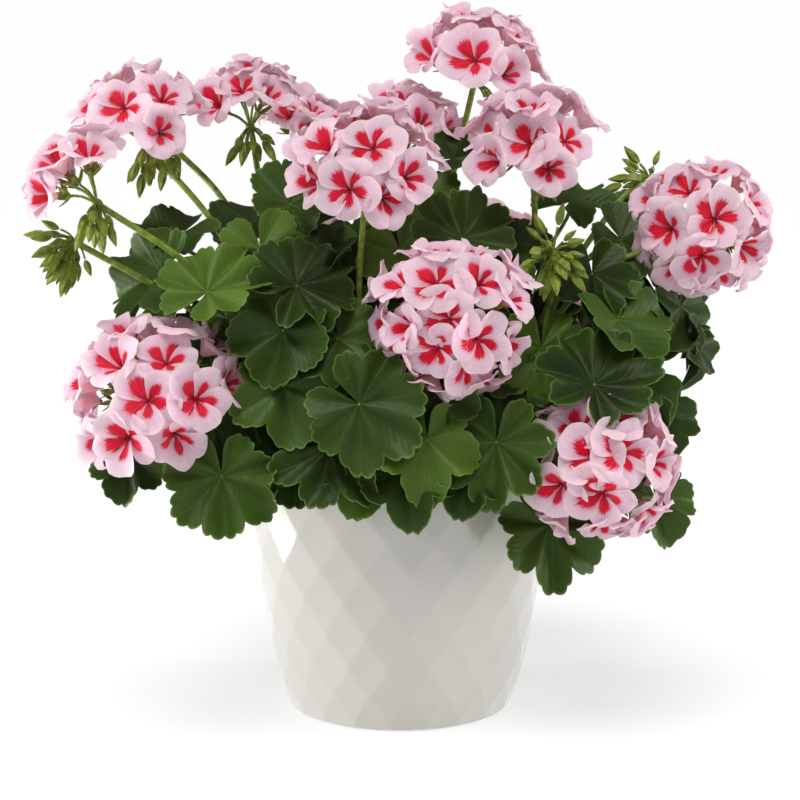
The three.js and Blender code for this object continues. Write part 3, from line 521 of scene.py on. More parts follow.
HEADS = {
    "top": head([48, 48, 398], [-70, 72], 72, 36, 22, "middle", [[29, 30, 320]], (1, -10, 5),
                shows=[[0, 9], [-30, 14], [22, 22], [-6, 33]]),
    "top_left": head([-159, -8, 362], [-110, 66], 62, 41, 21, "left", [[-112, -24, 308]],
                     (5, -60, -55), shows=[[-9, 18], [-29, 20], [14, 26], [-36, 4], [8, 40]]),
    "far_left": head([-179, -100, 334], [172, 50], 58, 32, 21, "left", [[-127, -76, 294]],
                     (4, -95, -60), shows=[[-25, 4], [-2, 23], [-19, 18]]),
    "left_of_top": head([-96, 34, 370], [-90, 82], 64, 32, 20, "middle",
                        [[-84, 26, 318], [-50, 16, 280]], (5, -80, -50),
                        shows=[[-4, 21], [-27, 19], [22, 23]]),
    "small_back": head([-66, 84, 352], [-100, 70], 50, 29, 16, "back_left", [[-64, 78, 300]],
                       shows=[[-7, 20], [9, 22]]),
    "centre_high": head([-21, -58, 343], [-88, 62], 88, 36, 21, "front", [[-22, -70, 258]],
                        (3, -90, -65),
                        shows=[[-8, -7], [-21, 16], [5, 17], [25, 0], [-35, 8], [34, 16], [10, 38],
                               [-14, 36]]),
    "behind_centre": head([4, 56, 352], [-80, 75], 60, 34, 19, "back", [[6, 70, 290]],
                          shows=[[0, 30], [-15, 28], [15, 30]]),
    "right_of_top": head([82, -26, 354], [-100, 62], 84, 34, 21, "middle",
                         [[82, -16, 304], [56, -4, 266]], (3, -90, -55),
                         shows=[[-3, 6], [20, 9], [-27, 12], [7, 33], [31, 23]]),
    "far_right": head([187, -30, 312], [-80, 14], 98, 33, 21, "right", [[124, -30, 284]],
                      (2, -100, -75),
                      shows=[[-3, -18], [-21, -2], [4, 3], [-10, 21], [24, -13], [26, 12], [6, 30]]),
    "centre": head([30, -105, 267], [-88, 15], 102, 38, 21, "front", [[22, -86, 238]],
                   shows=[[-1, -2], [18, 20], [-8, 17], [-29, 17], [15, -14], [-8, -20], [33, 8],
                          [-27, -24], [-37, -7], [34, -18]]),
    "low_left": head([-145, -92, 212], [-118, 46], 90, 43, 22, "front_left", [[-100, -80, 208]],
                     (2, 170, -25),
                     shows=[[-2, 2], [-20, 22], [8, 25], [24, 3], [-14, -19], [25, -21], [40, 12],
                            [-40, 12], [-33, -22]]),
    "low_right": head([119, -92, 175], [-60, 12], 104, 39, 22, "front_right", [[98, -78, 198]],
                      (2, -75, -65),
                      shows=[[1, -15], [-23, -11], [-5, 6], [12, 8], [-13, 23], [9, 26], [-32, 11],
                             [33, 2], [-22, -32], [28, -25]]),
    "back_high": head([42, 126, 270], [80, 40], 90, 38, 21, "back_right", [[54, 100, 248]],
                      (2, 90, -60)),
    "back_left_high": head([-72, 124, 262], [118, 38], 90, 38, 21, "back_left", [[-72, 98, 246]],
                           (2, 120, -60)),
    "back_low": head([-12, 142, 208], [95, 20], 96, 38, 21, "back", [[-6, 116, 212]], (2, 95, -70)),
    "back_right_low": head([94, 120, 206], [55, 25], 96, 38, 21, "back_right", [[84, 94, 214]],
                           (2, 30, -70)),
}

# clusters whose flowers are still closed: the way that they face, how far they spread, their count
BUD_CLUSTERS = {
    "buds_left": {"at": [-196, -66, 307], "toward": [-172, -22], "spread": 62, "count": 10,
                  "shoot": "left", "via": [[-134, -62, 270]]},
    "buds_top_left": {"at": [-150, 34, 362], "toward": [-70, -60], "spread": 60, "count": 6,
                      "shoot": "left", "via": [[-108, 16, 318]]},
    "buds_right": {"at": [160, 26, 337], "toward": [-140, 20], "spread": 60, "count": 5,
                   "shoot": "right", "via": [[148, 18, 332], [112, -4, 290]]},
    "buds_front_right": {"at": [93, -62, 299], "toward": [-90, 15], "spread": 75, "count": 8,
                         "shoot": "right", "via": [[94, -44, 274]]},
}
print("heads:", len(HEADS), "clusters of buds:", len(BUD_CLUSTERS))

# %% Leaves that show from the front
# where the petiole joins the blade, the blade's size from there to its tip, the azimuth and elevation
# that its face looks to, and how far its tip is turned from straight downhill
FRONT_LEAVES = [
    [-25, -132, 222, 43, -84, 16, 62],
    [-106, -120, 174, 39, -92, 12, 4],
    [96, -88, 134, 42, -66, 14, 0],
    [-42, -112, 190, 41, -96, 30, -8],
    [16, -122, 196, 37, -90, 22, 0],
    [60, -122, 194, 42, -88, 20, -14],
    [158, -58, 148, 31, -68, 20, 15],
    [-166, -66, 174, 29, -100, 24, -10],
    [-112, -96, 200, 31, -82, 26, 22],
    [-115, -98, 281, 39, -108, 48, 160],
    [-142, -62, 286, 40, -125, 40, -50],
    [-98, -8, 316, 36, -105, 62, -150],
    [-132, -26, 305, 35, -100, 74, -30],
    [-72, -22, 327, 33, -75, 40, 150],
    [-85, -62, 303, 36, -78, 24, 10],
    [-62, -92, 284, 40, -70, 44, 120],
    [-70, -100, 258, 36, -95, 28, -10],
    [-38, -96, 252, 38, -85, 34, 15],
    [-72, -108, 220, 38, -98, 20, 12],
    [-64, -104, 184, 36, -100, 24, -4],
    [38, -52, 308, 40, -88, 50, 170],
    [0, -48, 300, 34, -95, 45, 20],
    [10, -8, 327, 34, -85, 60, 60],
    [34, 12, 352, 26, -80, 60, 120],
    [64, -40, 303, 34, -75, 40, 10],
    [60, -82, 224, 38, -78, 30, 18],
    [86, -74, 247, 39, -80, 28, -8],
    [112, -106, 228, 42, -70, 36, 150],
    [147, -48, 216, 38, -62, 34, 12],
    [138, -44, 222, 41, -50, 48, 40],
    [132, -66, 256, 38, -60, 40, 28],
    [166, -18, 262, 40, -40, 34, 20],
    [138, -20, 304, 36, -55, 36, 40],
    [144, 24, 322, 34, -50, 62, 60],
    [108, 14, 326, 33, -85, 62, 150],
    [118, -50, 286, 35, -70, 30, 0],
    [-128, -50, 236, 37, -118, 34, 6],
    [-150, -20, 246, 38, -155, 30, 10],
    [112, -70, 190, 36, -70, 26, 0],
]
print("leaves that show:", len(FRONT_LEAVES))

# %% Leaves of the other sides
CROWN_LEAVES = 30
CROWN_LOW, CROWN_HIGH = 168, 318
CROWN_RADII = [[150, 126], [190, 140], [240, 138], [280, 108], [318, 44]]   # height and radius
CROWN_AZIMUTHS = [-30, 210]
CROWN_SIZE = [36, 7]            # the smallest leaf, and the range above it
GOLDEN_SHARE = 0.381966         # of the azimuths, from one leaf to the next


def crown_leaves():
    """Leaves on a spiral over the crown: height by a power of their share, azimuth by golden steps."""
    i = np.arange(CROWN_LEAVES)
    share = (i + 0.5) / CROWN_LEAVES
    z = CROWN_LOW + (CROWN_HIGH - CROWN_LOW) * share ** 1.25
    start, end = CROWN_AZIMUTHS
    azimuth = start + (end - start) * ((i * GOLDEN_SHARE + 0.1) % 1)
    radius = np.interp(z, *np.array(CROWN_RADII).T) * (0.92 + 0.14 * draw(i, 9))
    spot = direction(azimuth, 0) * radius[:, None]
    return np.stack([spot[:, 0], spot[:, 1], z, CROWN_SIZE[0] + CROWN_SIZE[1] * draw(i, 10),
                     azimuth + 30 * (draw(i, 11) - 0.5), 18 + 48 * share + 12 * draw(i, 12),
                     60 * (draw(i, 13) - 0.5)], axis=-1)


leaves = np.concatenate([np.array(FRONT_LEAVES, float), crown_leaves()])
print("leaves planned:", len(leaves))

# %% [markdown]
# ## Where each leaf ended up
# In the CAD model a leaf was turned and shifted a little until it passed clear of its neighbours. The
# same rule gives 64 tries for each leaf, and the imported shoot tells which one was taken: the one whose
# coarse outline is found again among the shoot's corners.

# %% The coarse blade
BLADE_SWEEP = 172               # degrees to either side of the tip
SMALL_LEAF = 38                 # a blade up to this size has fewer lobes
NOTCH_DEPTH = 0.83              # notches between the lobes, times the reach of the lobes
EAR_REACH = 0.42                # the two corners beside the petiole, times the blade's size
COARSE_THICKNESS = 1


def lobes_of(size):
    """A small leaf has five lobes, a larger one seven."""
    return 7 if size > SMALL_LEAF else 5


def leaf_form(n):
    """What bends the n-th leaf: its cup, its fold, its tip's curl, its edge's wave and that phase."""
    return {"cup": 0.1 + 0.12 * draw(n, 1), "fold": 0.02 + 0.16 * draw(n, 2),
            "curl": 0.05 + 0.25 * draw(n, 3), "wave": 0.05 + 0.05 * draw(n, 4),
            "phase": FULL_TURN * draw(n, 5)}


def blade_height(reach, turn, size, form):
    """The blade's height: cup * s^2 + fold * |y| - curl * x^2 + wave * sin(3 turn + phase) * s^2."""
    s = reach / size
    y, x = s * np.sin(turn), np.maximum(0, s * np.cos(turn))
    return size * (form["cup"] * s ** 2 + form["fold"] * np.abs(y) - form["curl"] * x ** 2
                   + form["wave"] * np.sin(3 * turn + form["phase"]) * s ** 2)


def fan_reach(turn):
    """How far a blade without lobes would reach, times its size: most at the tip, least at the back."""
    return 0.85 + 0.15 * np.cos(turn)


def coarse_blade(size, form):
    """The hub and the outline's corners of the flat-sided blade, on its upper face."""
    lobes = lobes_of(size)
    i = np.arange(2 * lobes + 1)
    turn = np.radians((i / lobes - 1) * BLADE_SWEEP)
    reach = size * fan_reach(turn) * np.where(i % 2, 1, NOTCH_DEPTH)
    reach[[0, -1]] = size * EAR_REACH
    z = blade_height(reach, turn, size, form)
    outline = np.stack([reach * np.cos(turn), reach * np.sin(turn), z], axis=-1)
    return np.concatenate([[[0, 0, 0]], outline]) + [0, 0, COARSE_THICKNESS / 2]


print("corners of a coarse leaf:", len(coarse_blade(leaves[0][3], leaf_form(0))))

# %% [markdown]
# A blade lies square to the way that its face looks, with its tip turned from straight downhill. Each
# try may turn and shift it a little farther than the one before.

# %% Tries of a leaf
NUDGES = 64
# the last try's range: azimuth, elevation and tip in degrees, and outwards and upwards in millimetres
NUDGE_WIDTHS = [60, 44, 70, 30, 26]


def blade_axes(leaf):
    """The blade's tip, side and face directions, as rows: downhill turned about the face's normal."""
    azimuth, elevation, turn = leaf[4:]
    normal = direction(azimuth, elevation)
    tip = turned(direction(azimuth, elevation - 90), normal, math.radians(turn))
    return np.stack([tip, np.cross(normal, tip), normal])


def nudged(leaf, k):
    """The leaf at its k-th try: shifts and turns that grow with k."""
    azimuth, elevation, tip, out, up = (w * (k / NUDGES) * (draw(k, 41 + j) - 0.5)
                                        for j, w in enumerate(NUDGE_WIDTHS))
    away = math.hypot(leaf[0], leaf[1])
    shift = (away + out) / away
    return np.array([leaf[0] * shift, leaf[1] * shift, leaf[2] + up, leaf[3], leaf[4] + azimuth,
                     leaf[5] + elevation, leaf[6] + tip])


print("first leaf's last try:", nudged(leaves[0], NUDGES - 1).round(1))

# %% [markdown]
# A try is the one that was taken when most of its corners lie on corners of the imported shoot. The
# median of their distances tells it, because it doesn't mind the few corners that other leaves hide.

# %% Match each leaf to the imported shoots
SHOOT_REACH = 1.3               # a leaf is on the shoot whose top, this much farther out, is nearest
MIDDLE_REACH = 62               # and on the middle shoot only this near the axis
MATCH_LIMIT = 0.1               # for the median distance of its corners


def nearest_shoot(leaf):
    """The name of the shoot that carries the leaf."""
    x, y = leaf[0], leaf[1]
    names = [n for n in SHOOTS if n != "middle" or math.hypot(x, y) < MIDDLE_REACH]
    return min(names, key=lambda n: math.hypot(SHOOTS[n]["top"][0] * SHOOT_REACH - x,
                                               SHOOTS[n]["top"][1] * SHOOT_REACH - y))


def corners_of(node):
    """The corners of a CAD node in millimetres."""
    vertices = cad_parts[node].data.vertices
    found = np.zeros(len(vertices) * 3, np.float32)
    vertices.foreach_get("co", found)
    return np.unique(found.reshape(-1, 3).round(6), axis=0) / MM


def nearest_distances(points, corners):
    """How far each point is from the nearest corner: sqrt(|p|^2 + |c|^2 - 2 p.c)."""
    squares = (points ** 2).sum(-1)[:, None] + (corners ** 2).sum(-1) - 2 * points @ corners.T
    return np.sqrt(np.maximum(squares.min(axis=1), 0))


shoot_corners = {name: corners_of("shoot_" + name) for name in SHOOTS}
grown = []
for n, leaf in enumerate(leaves):
    shoot = nearest_shoot(leaf)
    blade = coarse_blade(leaf[3], leaf_form(n))
    tries = [nudged(leaf, k) for k in range(NUDGES)]
    laid = np.stack([blade @ blade_axes(t) + t[:3] for t in tries])
    misses = nearest_distances(laid.reshape(-1, 3), shoot_corners[shoot]).reshape(NUDGES, -1)
    best = int(np.median(misses, axis=1).argmin())
    if np.median(misses[best]) < MATCH_LIMIT:
        grown.append({"n": n, "shoot": shoot, "leaf": tries[best]})
print("leaves found in the packed shoots:", len(grown))

# %% [markdown]
# ## The blade of a leaf
# A geranium's leaf is a round, lobed fan. The veins spread from the point where the petiole joins it,
# one to each lobe, and the blade is pleated between them. The edge is cut into small rounded teeth.
# One leaf could be modelled by hand and copied 62 times, but the eye soon finds copies. So all of that
# is one function of two parameters, the share of the way out from the hub and the turn from the tip,
# and draws vary each leaf. Each lobe has a length and a lean of its own, since leaves that are too even
# look cut from paper.

# %% Fine blades
BLADE_ROWS = np.array([0.03, 0.2, 0.4, 0.58, 0.74, 0.87, 0.95, 1.0])
BLADE_COLUMNS = 141
BLADE_THICKNESS = 0.45
BACK_REACH = 0.7                # what fan_reach gives beside the petiole
PLEAT = 0.12                    # depth of the fold along each vein, times the size, as the next ones
RUFFLE = 0.085                  # wave of the rim
ROLL = 0.17                     # how far the two sides bend down or up
TEETH = {7: 4, 5: 6}            # teeth on each lobe, for a leaf of seven and of five lobes
TOOTH_DEPTH = 0.06
BETWEEN_TEETH = 0.965           # the edge there, times the outline
NOTCH_RANGE = 0.11              # how much deeper the notches of some leaves are
LOBE_RANGE = 0.14               # between a leaf's shortest and its longest lobe
LEAN_RANGE = 0.65               # between its lowest and its highest lobe
YOUNG_SHARE = 0.14              # of the leaves are young
YOUNG_TINT = 0.32               # and are this much lighter


def fine_outline(turn, lobe, lobes, notch):
    """The edge's reach, times the size: lobes that round down to the notches, less the gaps between
    the teeth, and at both ends a curve in to the ears beside the petiole."""
    into_notch = 2 * np.abs(lobe - np.round(lobe))
    last = (lobes - 1) / 2
    lobed = 1 - (1 - notch) * into_notch ** 2.4
    to_ear = np.clip(2 * (np.abs(lobe) - last), 0, 1)
    eared = 1 - (1 - EAR_REACH / BACK_REACH) * to_ear ** 2.5
    teeth = np.abs(np.sin(np.pi * TEETH[lobes] * (lobe + 0.5))) ** 0.8
    reach = fan_reach(turn) * np.where(np.abs(lobe) > last, eared, lobed)
    return reach * (BETWEEN_TEETH + TOOTH_DEPTH * teeth)


def fine_blade(n, size):
    """The blade's grid in its own frame, with its vein coordinates and its share out from the hub.
    Height: the coarse blade's, less a pleat * s at each vein, plus lean * s^3, roll * y^2 and a wave
    * s^4 at the rim."""
    lobes, form = lobes_of(size), leaf_form(n)
    turn = np.radians(np.linspace(-BLADE_SWEEP, BLADE_SWEEP, BLADE_COLUMNS))[None]
    spacing = np.radians(2 * BLADE_SWEEP / lobes)
    lobe = turn / spacing
    beside = lobe - np.round(lobe)
    own = n + 3 * np.round(lobe)            # the number that the draws of a lobe go by
    longer = LOBE_RANGE * (draw(own, 77) - 0.5) * np.cos(np.pi * beside) ** 2
    notch = NOTCH_DEPTH - NOTCH_RANGE * draw(n, 71)
    edge = fine_outline(turn, lobe, lobes, notch) * (1 + longer)
    s = BLADE_ROWS[:, None] * edge
    lean = LEAN_RANGE * (draw(own, 72) - 0.5) * np.cos(np.pi * beside) ** 2
    z = blade_height(s * size, turn, size, form) + size * (
        -PLEAT * s * np.cos(2 * np.pi * lobe)
        + lean * s ** 3
        + ROLL * (1.6 * draw(n, 75) - 1) * (s * np.sin(turn)) ** 2
        + RUFFLE * s ** 4 * np.sin(3 * np.pi * lobe + FULL_TURN * draw(n, 73)))
    grid = np.stack([s * size * np.cos(turn), s * size * np.sin(turn), z], axis=-1)
    veins = np.stack([s * np.cos(beside * spacing), s * np.abs(np.sin(beside * spacing))], axis=-1)
    return grid, veins, BLADE_ROWS[:, None] + 0 * turn


print("points of a fine leaf:", fine_blade(0, leaves[0][3])[0].shape[:2])

# %% [markdown]
# The blades of one shoot go into one mesh. With each point goes what the finish needs: its place
# beside the veins, how far out it is, how bright its leaf is, whether that leaf is young, and whether
# the point is on the leaf's underside.


# %% Blades of a shoot
def blade_parts(found, rows=slice(None), columns=slice(None), brightest=1.0):
    """The blades of some leaves as one part of closed sheets, from these rows and columns of their
    grids. Their tones reach up to brightest, which is low for the inner leaves as painted shade."""
    made = [[a[rows][:, columns] for a in fine_blade(f["n"], f["leaf"][3])] for f in found]
    grids = np.stack([grid @ blade_axes(f["leaf"]) + f["leaf"][:3]
                      for f, (grid, _, _) in zip(found, made)])
    veins = np.stack([m[1] for m in made])
    edge = np.stack([m[2] for m in made])
    uv = np.stack([on_both(veins[..., 0], grids), on_both(veins[..., 1], grids)], axis=-1)
    tone = brightest * np.array([draw(f["n"], 74) for f in found])[:, None, None]
    young = YOUNG_TINT * (np.array([draw(f["n"], 95) for f in found]) > 1 - YOUNG_SHARE)
    young = young[:, None, None]
    under = np.zeros((len(found), 2, *grids.shape[1:3]))
    under[:, 1] = 1
    return part(sheets(grids, BLADE_THICKNESS), uv, edge=on_both(edge, grids),
                tone=on_both(tone, grids), under=under.ravel(), young=on_both(young, grids))


print("leaves on the front shoot:", sum(f["shoot"] == "front" for f in grown))

# %% [markdown]
# A leaf's veins can be drawn from its vein coordinates, which say how far along a lobe's own vein a
# point is, and how far beside it. A pale line stands where the second is small, and side veins where a
# slanted mix of the two comes round to a whole number. Noise makes the side veins wander. Painted veins
# would have to be painted for each leaf, and these fit every leaf and stay sharp from close by.

# %% Leaf skin: veins
VEIN_WIDTH = 0.011          # times the leaf's size
SIDE_VEINS = 7.5            # side veins along a lobe's vein
BLOTCHES_PER_METRE = 60     # blotches of about 17 mm, with finer ones in them
BENDS_PER_METRE = 160       # bends of about 6 mm in the side veins
leaf_skin, tree, out = start_finish("velvety geranium leaf")
place = add(tree, "TexCoord").outputs["Object"]
veins_uv = add(tree, "SeparateXYZ", links={0: add(tree, "UVMap", {"uv_map": "pattern"})})
along, beside = veins_uv.outputs[0], veins_uv.outputs[1]
tone = add(tree, "Attribute", {"attribute_name": "tone"}).outputs["Fac"]
edge = add(tree, "Attribute", {"attribute_name": "edge"}).outputs["Fac"]
under = add(tree, "Attribute", {"attribute_name": "under"}).outputs["Fac"]
young = add(tree, "Attribute", {"attribute_name": "young"}).outputs["Fac"]

blotches = add(tree, "TexNoise", {"Scale": BLOTCHES_PER_METRE, "Detail": 6},
               {"Vector": place}).outputs["Fac"]
wander = add(tree, "TexNoise", {"Scale": BENDS_PER_METRE, "Detail": 2},
             {"Vector": place}).outputs["Fac"]
main_vein = add(tree, "MapRange", {"interpolation_type": "SMOOTHSTEP", "From Min": 0.0,
                                   "From Max": VEIN_WIDTH, "To Min": 1.0, "To Max": 0.0},
                {"Value": beside})
slant = add(tree, "Math", {"operation": "MULTIPLY_ADD", 1: -1.25}, {0: beside, 2: along})
bent = add(tree, "Math", {"operation": "MULTIPLY_ADD", 1: 0.05}, {0: wander, 2: slant})
steps = add(tree, "Math", {"operation": "MULTIPLY", 1: SIDE_VEINS}, {0: bent})
wave = add(tree, "Math", {"operation": "PINGPONG", 1: 0.5}, {0: steps})
side_vein = add(tree, "MapRange", {"interpolation_type": "SMOOTHSTEP", "From Min": 0.0,
                                   "From Max": 0.10, "To Min": 0.16, "To Max": 0.0}, {"Value": wave})
vein = add(tree, "Math", {"operation": "MAXIMUM"}, {0: main_vein, 1: side_vein})
print("nodes for the veins:", len(tree.nodes))

# %% [markdown]
# The blade is a dark green, with darker and lighter blotches, that turns warmer towards its edge and
# ends in a thin pale rim. Leaves differ in depth, the inner ones darkest as painted shade, a few young
# ones are fresher, and every underside is paler. Each of these is one mix laid over the last.

# %% Leaf skin: greens
patches = add(tree, "Math", {"operation": "MULTIPLY_ADD", 1: 0.5, 2: 0.25}, {0: blotches})
depth = add(tree, "Math", {"operation": "MULTIPLY_ADD", 1: 0.75}, {0: tone, 2: patches})
green = add(tree, "ValToRGB", links={"Fac": depth})
green.color_ramp.elements[0].position, green.color_ramp.elements[1].position = 0.35, 1.2
green.color_ramp.elements[0].color = linear("#111b04")
green.color_ramp.elements[1].color = linear("#486026")
outer = add(tree, "MapRange", {"From Min": 0.45, "From Max": 1.0, "To Max": 0.35}, {"Value": edge})
warmer = add(tree, "MixRGB", {"Color2": linear("#46621a")}, {"Fac": outer, "Color1": green})
rim_light = add(tree, "MapRange", {"From Min": 0.955, "From Max": 1.0, "To Max": 0.8}, {"Value": edge})
edged = add(tree, "MixRGB", {"Color2": linear("#748f4c")}, {"Fac": rim_light, "Color1": warmer})
vein_share = add(tree, "Math", {"operation": "MULTIPLY", 1: 0.5}, {0: vein})
veined = add(tree, "MixRGB", {"Color2": linear("#647f3f")}, {"Fac": vein_share, "Color1": edged})
fresher = add(tree, "MixRGB", {"Color2": linear("#7c9c3a")}, {"Fac": young, "Color1": veined})
paler = add(tree, "Math", {"operation": "MULTIPLY", 1: 0.6}, {0: under})
both = add(tree, "MixRGB", {"Color2": linear("#64804a")}, {"Fac": paler, "Color1": fresher})
print("nodes with the greens:", len(tree.nodes))

# %% [markdown]
# Its skin is soft with short hairs, which blur the gloss and leave a faint sheen. It is sunk along the
# main veins and quilted between the side veins. The blade is thin, so a tenth of what it sends to the
# eye is light that comes through it, a little yellower.

# %% Leaf skin: relief and light
ripple = add(tree, "Math", {"operation": "MULTIPLY"}, {0: wave, 1: wander})
quilted = add(tree, "Math", {"operation": "MULTIPLY_ADD", 1: 0.45}, {0: ripple, 2: blotches})
relief = add(tree, "Math", {"operation": "MULTIPLY_ADD", 1: -0.3}, {0: main_vein, 2: quilted})
pressed = add(tree, "Bump", {"Strength": 0.8, "Distance": 0.0012}, {"Height": relief})
skin = add(tree, "BsdfPrincipled",
           {"Roughness": 0.45, "Specular IOR Level": 0.25, "Sheen Weight": 0.02,
            "Sheen Roughness": 0.4, "Sheen Tint": linear("#dfe9da")},
           {"Base Color": both, "Normal": pressed})
yellower = add(tree, "MixRGB", {"Fac": 0.35, "Color2": linear("#7fa62c")}, {"Color1": both})
through = add(tree, "BsdfTranslucent", links={"Color": yellower})
mixed = add(tree, "MixShader", {"Fac": 0.10}, {1: skin, 2: through})
tree.links.new(mixed.outputs[0], out.inputs[0])
print("nodes of the leaf's skin:", len(tree.nodes))

# %% [markdown]
# The leaves of each shoot become one piece, which stands for the shoot's whole solid. Its stem and its
# petioles follow as a piece of their own.

# %% Blades
for name in SHOOTS:
    mine = [f for f in grown if f["shoot"] == name]
    make_piece("blades_" + name, [blade_parts(mine)], leaf_skin, ["shoot_" + name])

# %% [markdown]
# Behind the leaves that show, a real plant has a second layer of smaller ones in their shade. They
# make the depth of the crown dark and close it against the light. Eight of them are given one by one
# behind the widest gaps. The others follow their own spiral, well inside the crown. Each has fewer
# points than a leaf that shows, because little of it is seen.
# Their green is also kept darker than that of the leaves that show, which paints shade into the crown.

# %% Inner leaves
INNER_LEAVES = 56
INNER_DROP = 16                     # how far the highest stays below the crown's top
INNER_RADIUS = [0.42, 0.40]         # times the crown's radius: the least, and the range above it
INNER_SIZE = [28, 9]                # the smallest, and the range above it
INNER_COLUMNS = slice(None, None, 2)
INNER_ROWS = [0, 2, 4, 5, 7]
INNER_PAINTED_SHADE_TONE = 0.3               # of the tones from 0 to 1: painted shade, which keeps the leaves inside the crown darker
INNER_FIRST = 200                   # their draws' first number, past those of the other leaves


def inner_leaves():
    """Leaves inside the crown: height by even shares, azimuth by golden steps, all facing outwards."""
    i = np.arange(INNER_LEAVES)
    z = CROWN_LOW + (CROWN_HIGH - INNER_DROP - CROWN_LOW) * (i + 0.5) / INNER_LEAVES
    azimuth = i * GOLDEN_ANGLE
    share = INNER_RADIUS[0] + INNER_RADIUS[1] * draw(i, 81)
    spot = direction(azimuth, 0) * (np.interp(z, *np.array(CROWN_RADII).T) * share)[:, None]
    return np.stack([spot[:, 0], spot[:, 1], z, INNER_SIZE[0] + INNER_SIZE[1] * draw(i, 82),
                     azimuth + 70 * (draw(i, 83) - 0.5), 5 + 55 * draw(i, 84),
                     120 * (draw(i, 85) - 0.5)], axis=-1)


# the listed ones, in the same order of values as the front leaves
SHADE_LEAVES = [
    [4, -110, 176, 35, -92, 26, 6],
    [40, -110, 178, 32, -84, 24, -10],
    [-86, -98, 178, 32, -104, 26, 12],
    [-20, -104, 178, 34, -84, 24, -16],
    [176, -24, 262, 34, -35, 15, 20],
    [186, -18, 238, 29, -20, 6, -15],
    [160, -38, 196, 33, -50, 20, 10],
    [126, 4, 204, 34, -60, 30, -20],
]
inner = [{"n": INNER_FIRST + k, "leaf": leaf}
         for k, leaf in enumerate([*np.array(SHADE_LEAVES, float), *inner_leaves()])]
shaded_part = blade_parts(inner, INNER_ROWS, INNER_COLUMNS, INNER_PAINTED_SHADE_TONE)
make_piece("inner_leaves", [shaded_part], leaf_skin)

# %% [markdown]
# ## Stems, stalks and petioles
# Everything green that carries something is a round, slightly hairy tube: the thick stems of the
# shoots, woody at the soil; the long straight stalks of the heads; and the thin petioles of the
# leaves, which swell where they meet the stem. They could be curve objects with a round bevel. As rings
# worked out here, though, all tubes of a shoot join in one mesh and carry their age from point to point.
# The lines are the same curves as in the CAD model, but for the ends of the petioles, which reach the
# hub of the veins here.

# %% Lines of the stems
HOLE_DEPTH = 24
PETIOLE_RISE = 46               # how far below its blade a petiole leaves the stem
PETIOLE_SPREAD = 0.24           # how unevenly they leave it, times the stem's length
PETIOLE_TURN_UP = 9             # it comes up squarely under the blade from this far away
RIM_PASS = 103                  # how far out the low petioles pass over the pot's rim


def stem_controls(shoot):
    """The points that a shoot's stem passes: straight in the soil, then leaning to its end."""
    (x, y), (tx, ty, tz) = shoot["base"], shoot["top"]
    return [[x, y, SOIL_TOP - HOLE_DEPTH + 0.3], [x, y, SOIL_TOP - 10], [x, y, SOIL_TOP + 8],
            [x + 0.35 * (tx - x), y + 0.35 * (ty - y), SOIL_TOP + 0.45 * (tz - SOIL_TOP)],
            [tx, ty, tz]]


def petiole_controls(leaf, n, shoot):
    """From the stem out and up to under the blade, and over the pot's rim where the leaf hangs low."""
    normal = direction(leaf[4], leaf[5])
    top = shoot["top"][2]
    rise = min(max(leaf[2] - PETIOLE_RISE, SOIL_TOP + 14), top - 4)
    t = 0.4 + 0.6 * (rise - SOIL_TOP) / (top - SOIL_TOP)
    t = min(max(t + PETIOLE_SPREAD * (draw(n, 6) - 0.6), 0.42), 0.97)
    start = curve(stem_controls(shoot), [t])[0]
    end = leaf[:3] - 0.2 * normal
    seat = end - PETIOLE_TURN_UP * normal
    middle = (start + seat) / 2
    middle[2] = max(middle[2], start[2]) + 6 + 0.12 * np.linalg.norm(seat - start)
    if seat[2] > start[2] + 30:
        middle[2] = start[2] + 0.62 * (seat[2] - start[2]) + 8
    if seat[2] < POT_HEIGHT + 10:
        out = math.hypot(seat[0], seat[1])
        middle = np.array([seat[0] * RIM_PASS / out, seat[1] * RIM_PASS / out, POT_HEIGHT + 13])
    return [start, middle, seat, end]


print("the front stem passes", len(stem_controls(SHOOTS["front"])), "points")

# %% [markdown]
# The stalk's skin is a fresh yellow-green, finely mottled, with a bloom of short hair. Where a part is
# old it turns brown and corky, and some buds and sepals blush. Both come from a value on each point, so
# one finish does for every green tube. The mottling is coarser than the hair is, so that it shows.

# %% Stalk skin
FLECKS_PER_METRE = 260      # flecks of about 4 mm
stalk_skin, tree, out = start_finish("hairy green stalk")
place = add(tree, "TexCoord").outputs["Object"]
age = add(tree, "Attribute", {"attribute_name": "age"}).outputs["Fac"]
blush = add(tree, "Attribute", {"attribute_name": "blush"}).outputs["Fac"]
fine = add(tree, "TexNoise", {"Scale": FLECKS_PER_METRE, "Detail": 3}, {"Vector": place}).outputs["Fac"]
fresh = add(tree, "ValToRGB", links={"Fac": fine})
fresh.color_ramp.elements[0].position, fresh.color_ramp.elements[1].position = 0.3, 0.75
fresh.color_ramp.elements[0].color = linear("#667c26")
fresh.color_ramp.elements[1].color = linear("#9fb24c")
aged = add(tree, "MixRGB", {"Color2": linear("#5b4a30")}, {"Fac": age, "Color1": fresh})
coloured = add(tree, "MixRGB", {"Color2": linear("#a4473f")}, {"Fac": blush, "Color1": aged})
rough = add(tree, "Bump", {"Strength": 0.3, "Distance": 0.0006}, {"Height": fine})
shader = add(tree, "BsdfPrincipled",
             {"Roughness": 0.5, "IOR": 1.42, "Sheen Weight": 0.1, "Sheen Roughness": 0.35},
             {"Base Color": coloured, "Normal": rough})
tree.links.new(shader.outputs[0], out.inputs[0])
print("nodes of the stalk's skin:", len(tree.nodes))

# %% [markdown]
# One mesh holds all that a shoot carries: its stem, the stalks of its heads and clusters, and the
# petioles of its own leaves and of the shaded ones near it. A stem swells a little at its joints, a
# stalk where it leaves the stem, and a petiole at its foot.

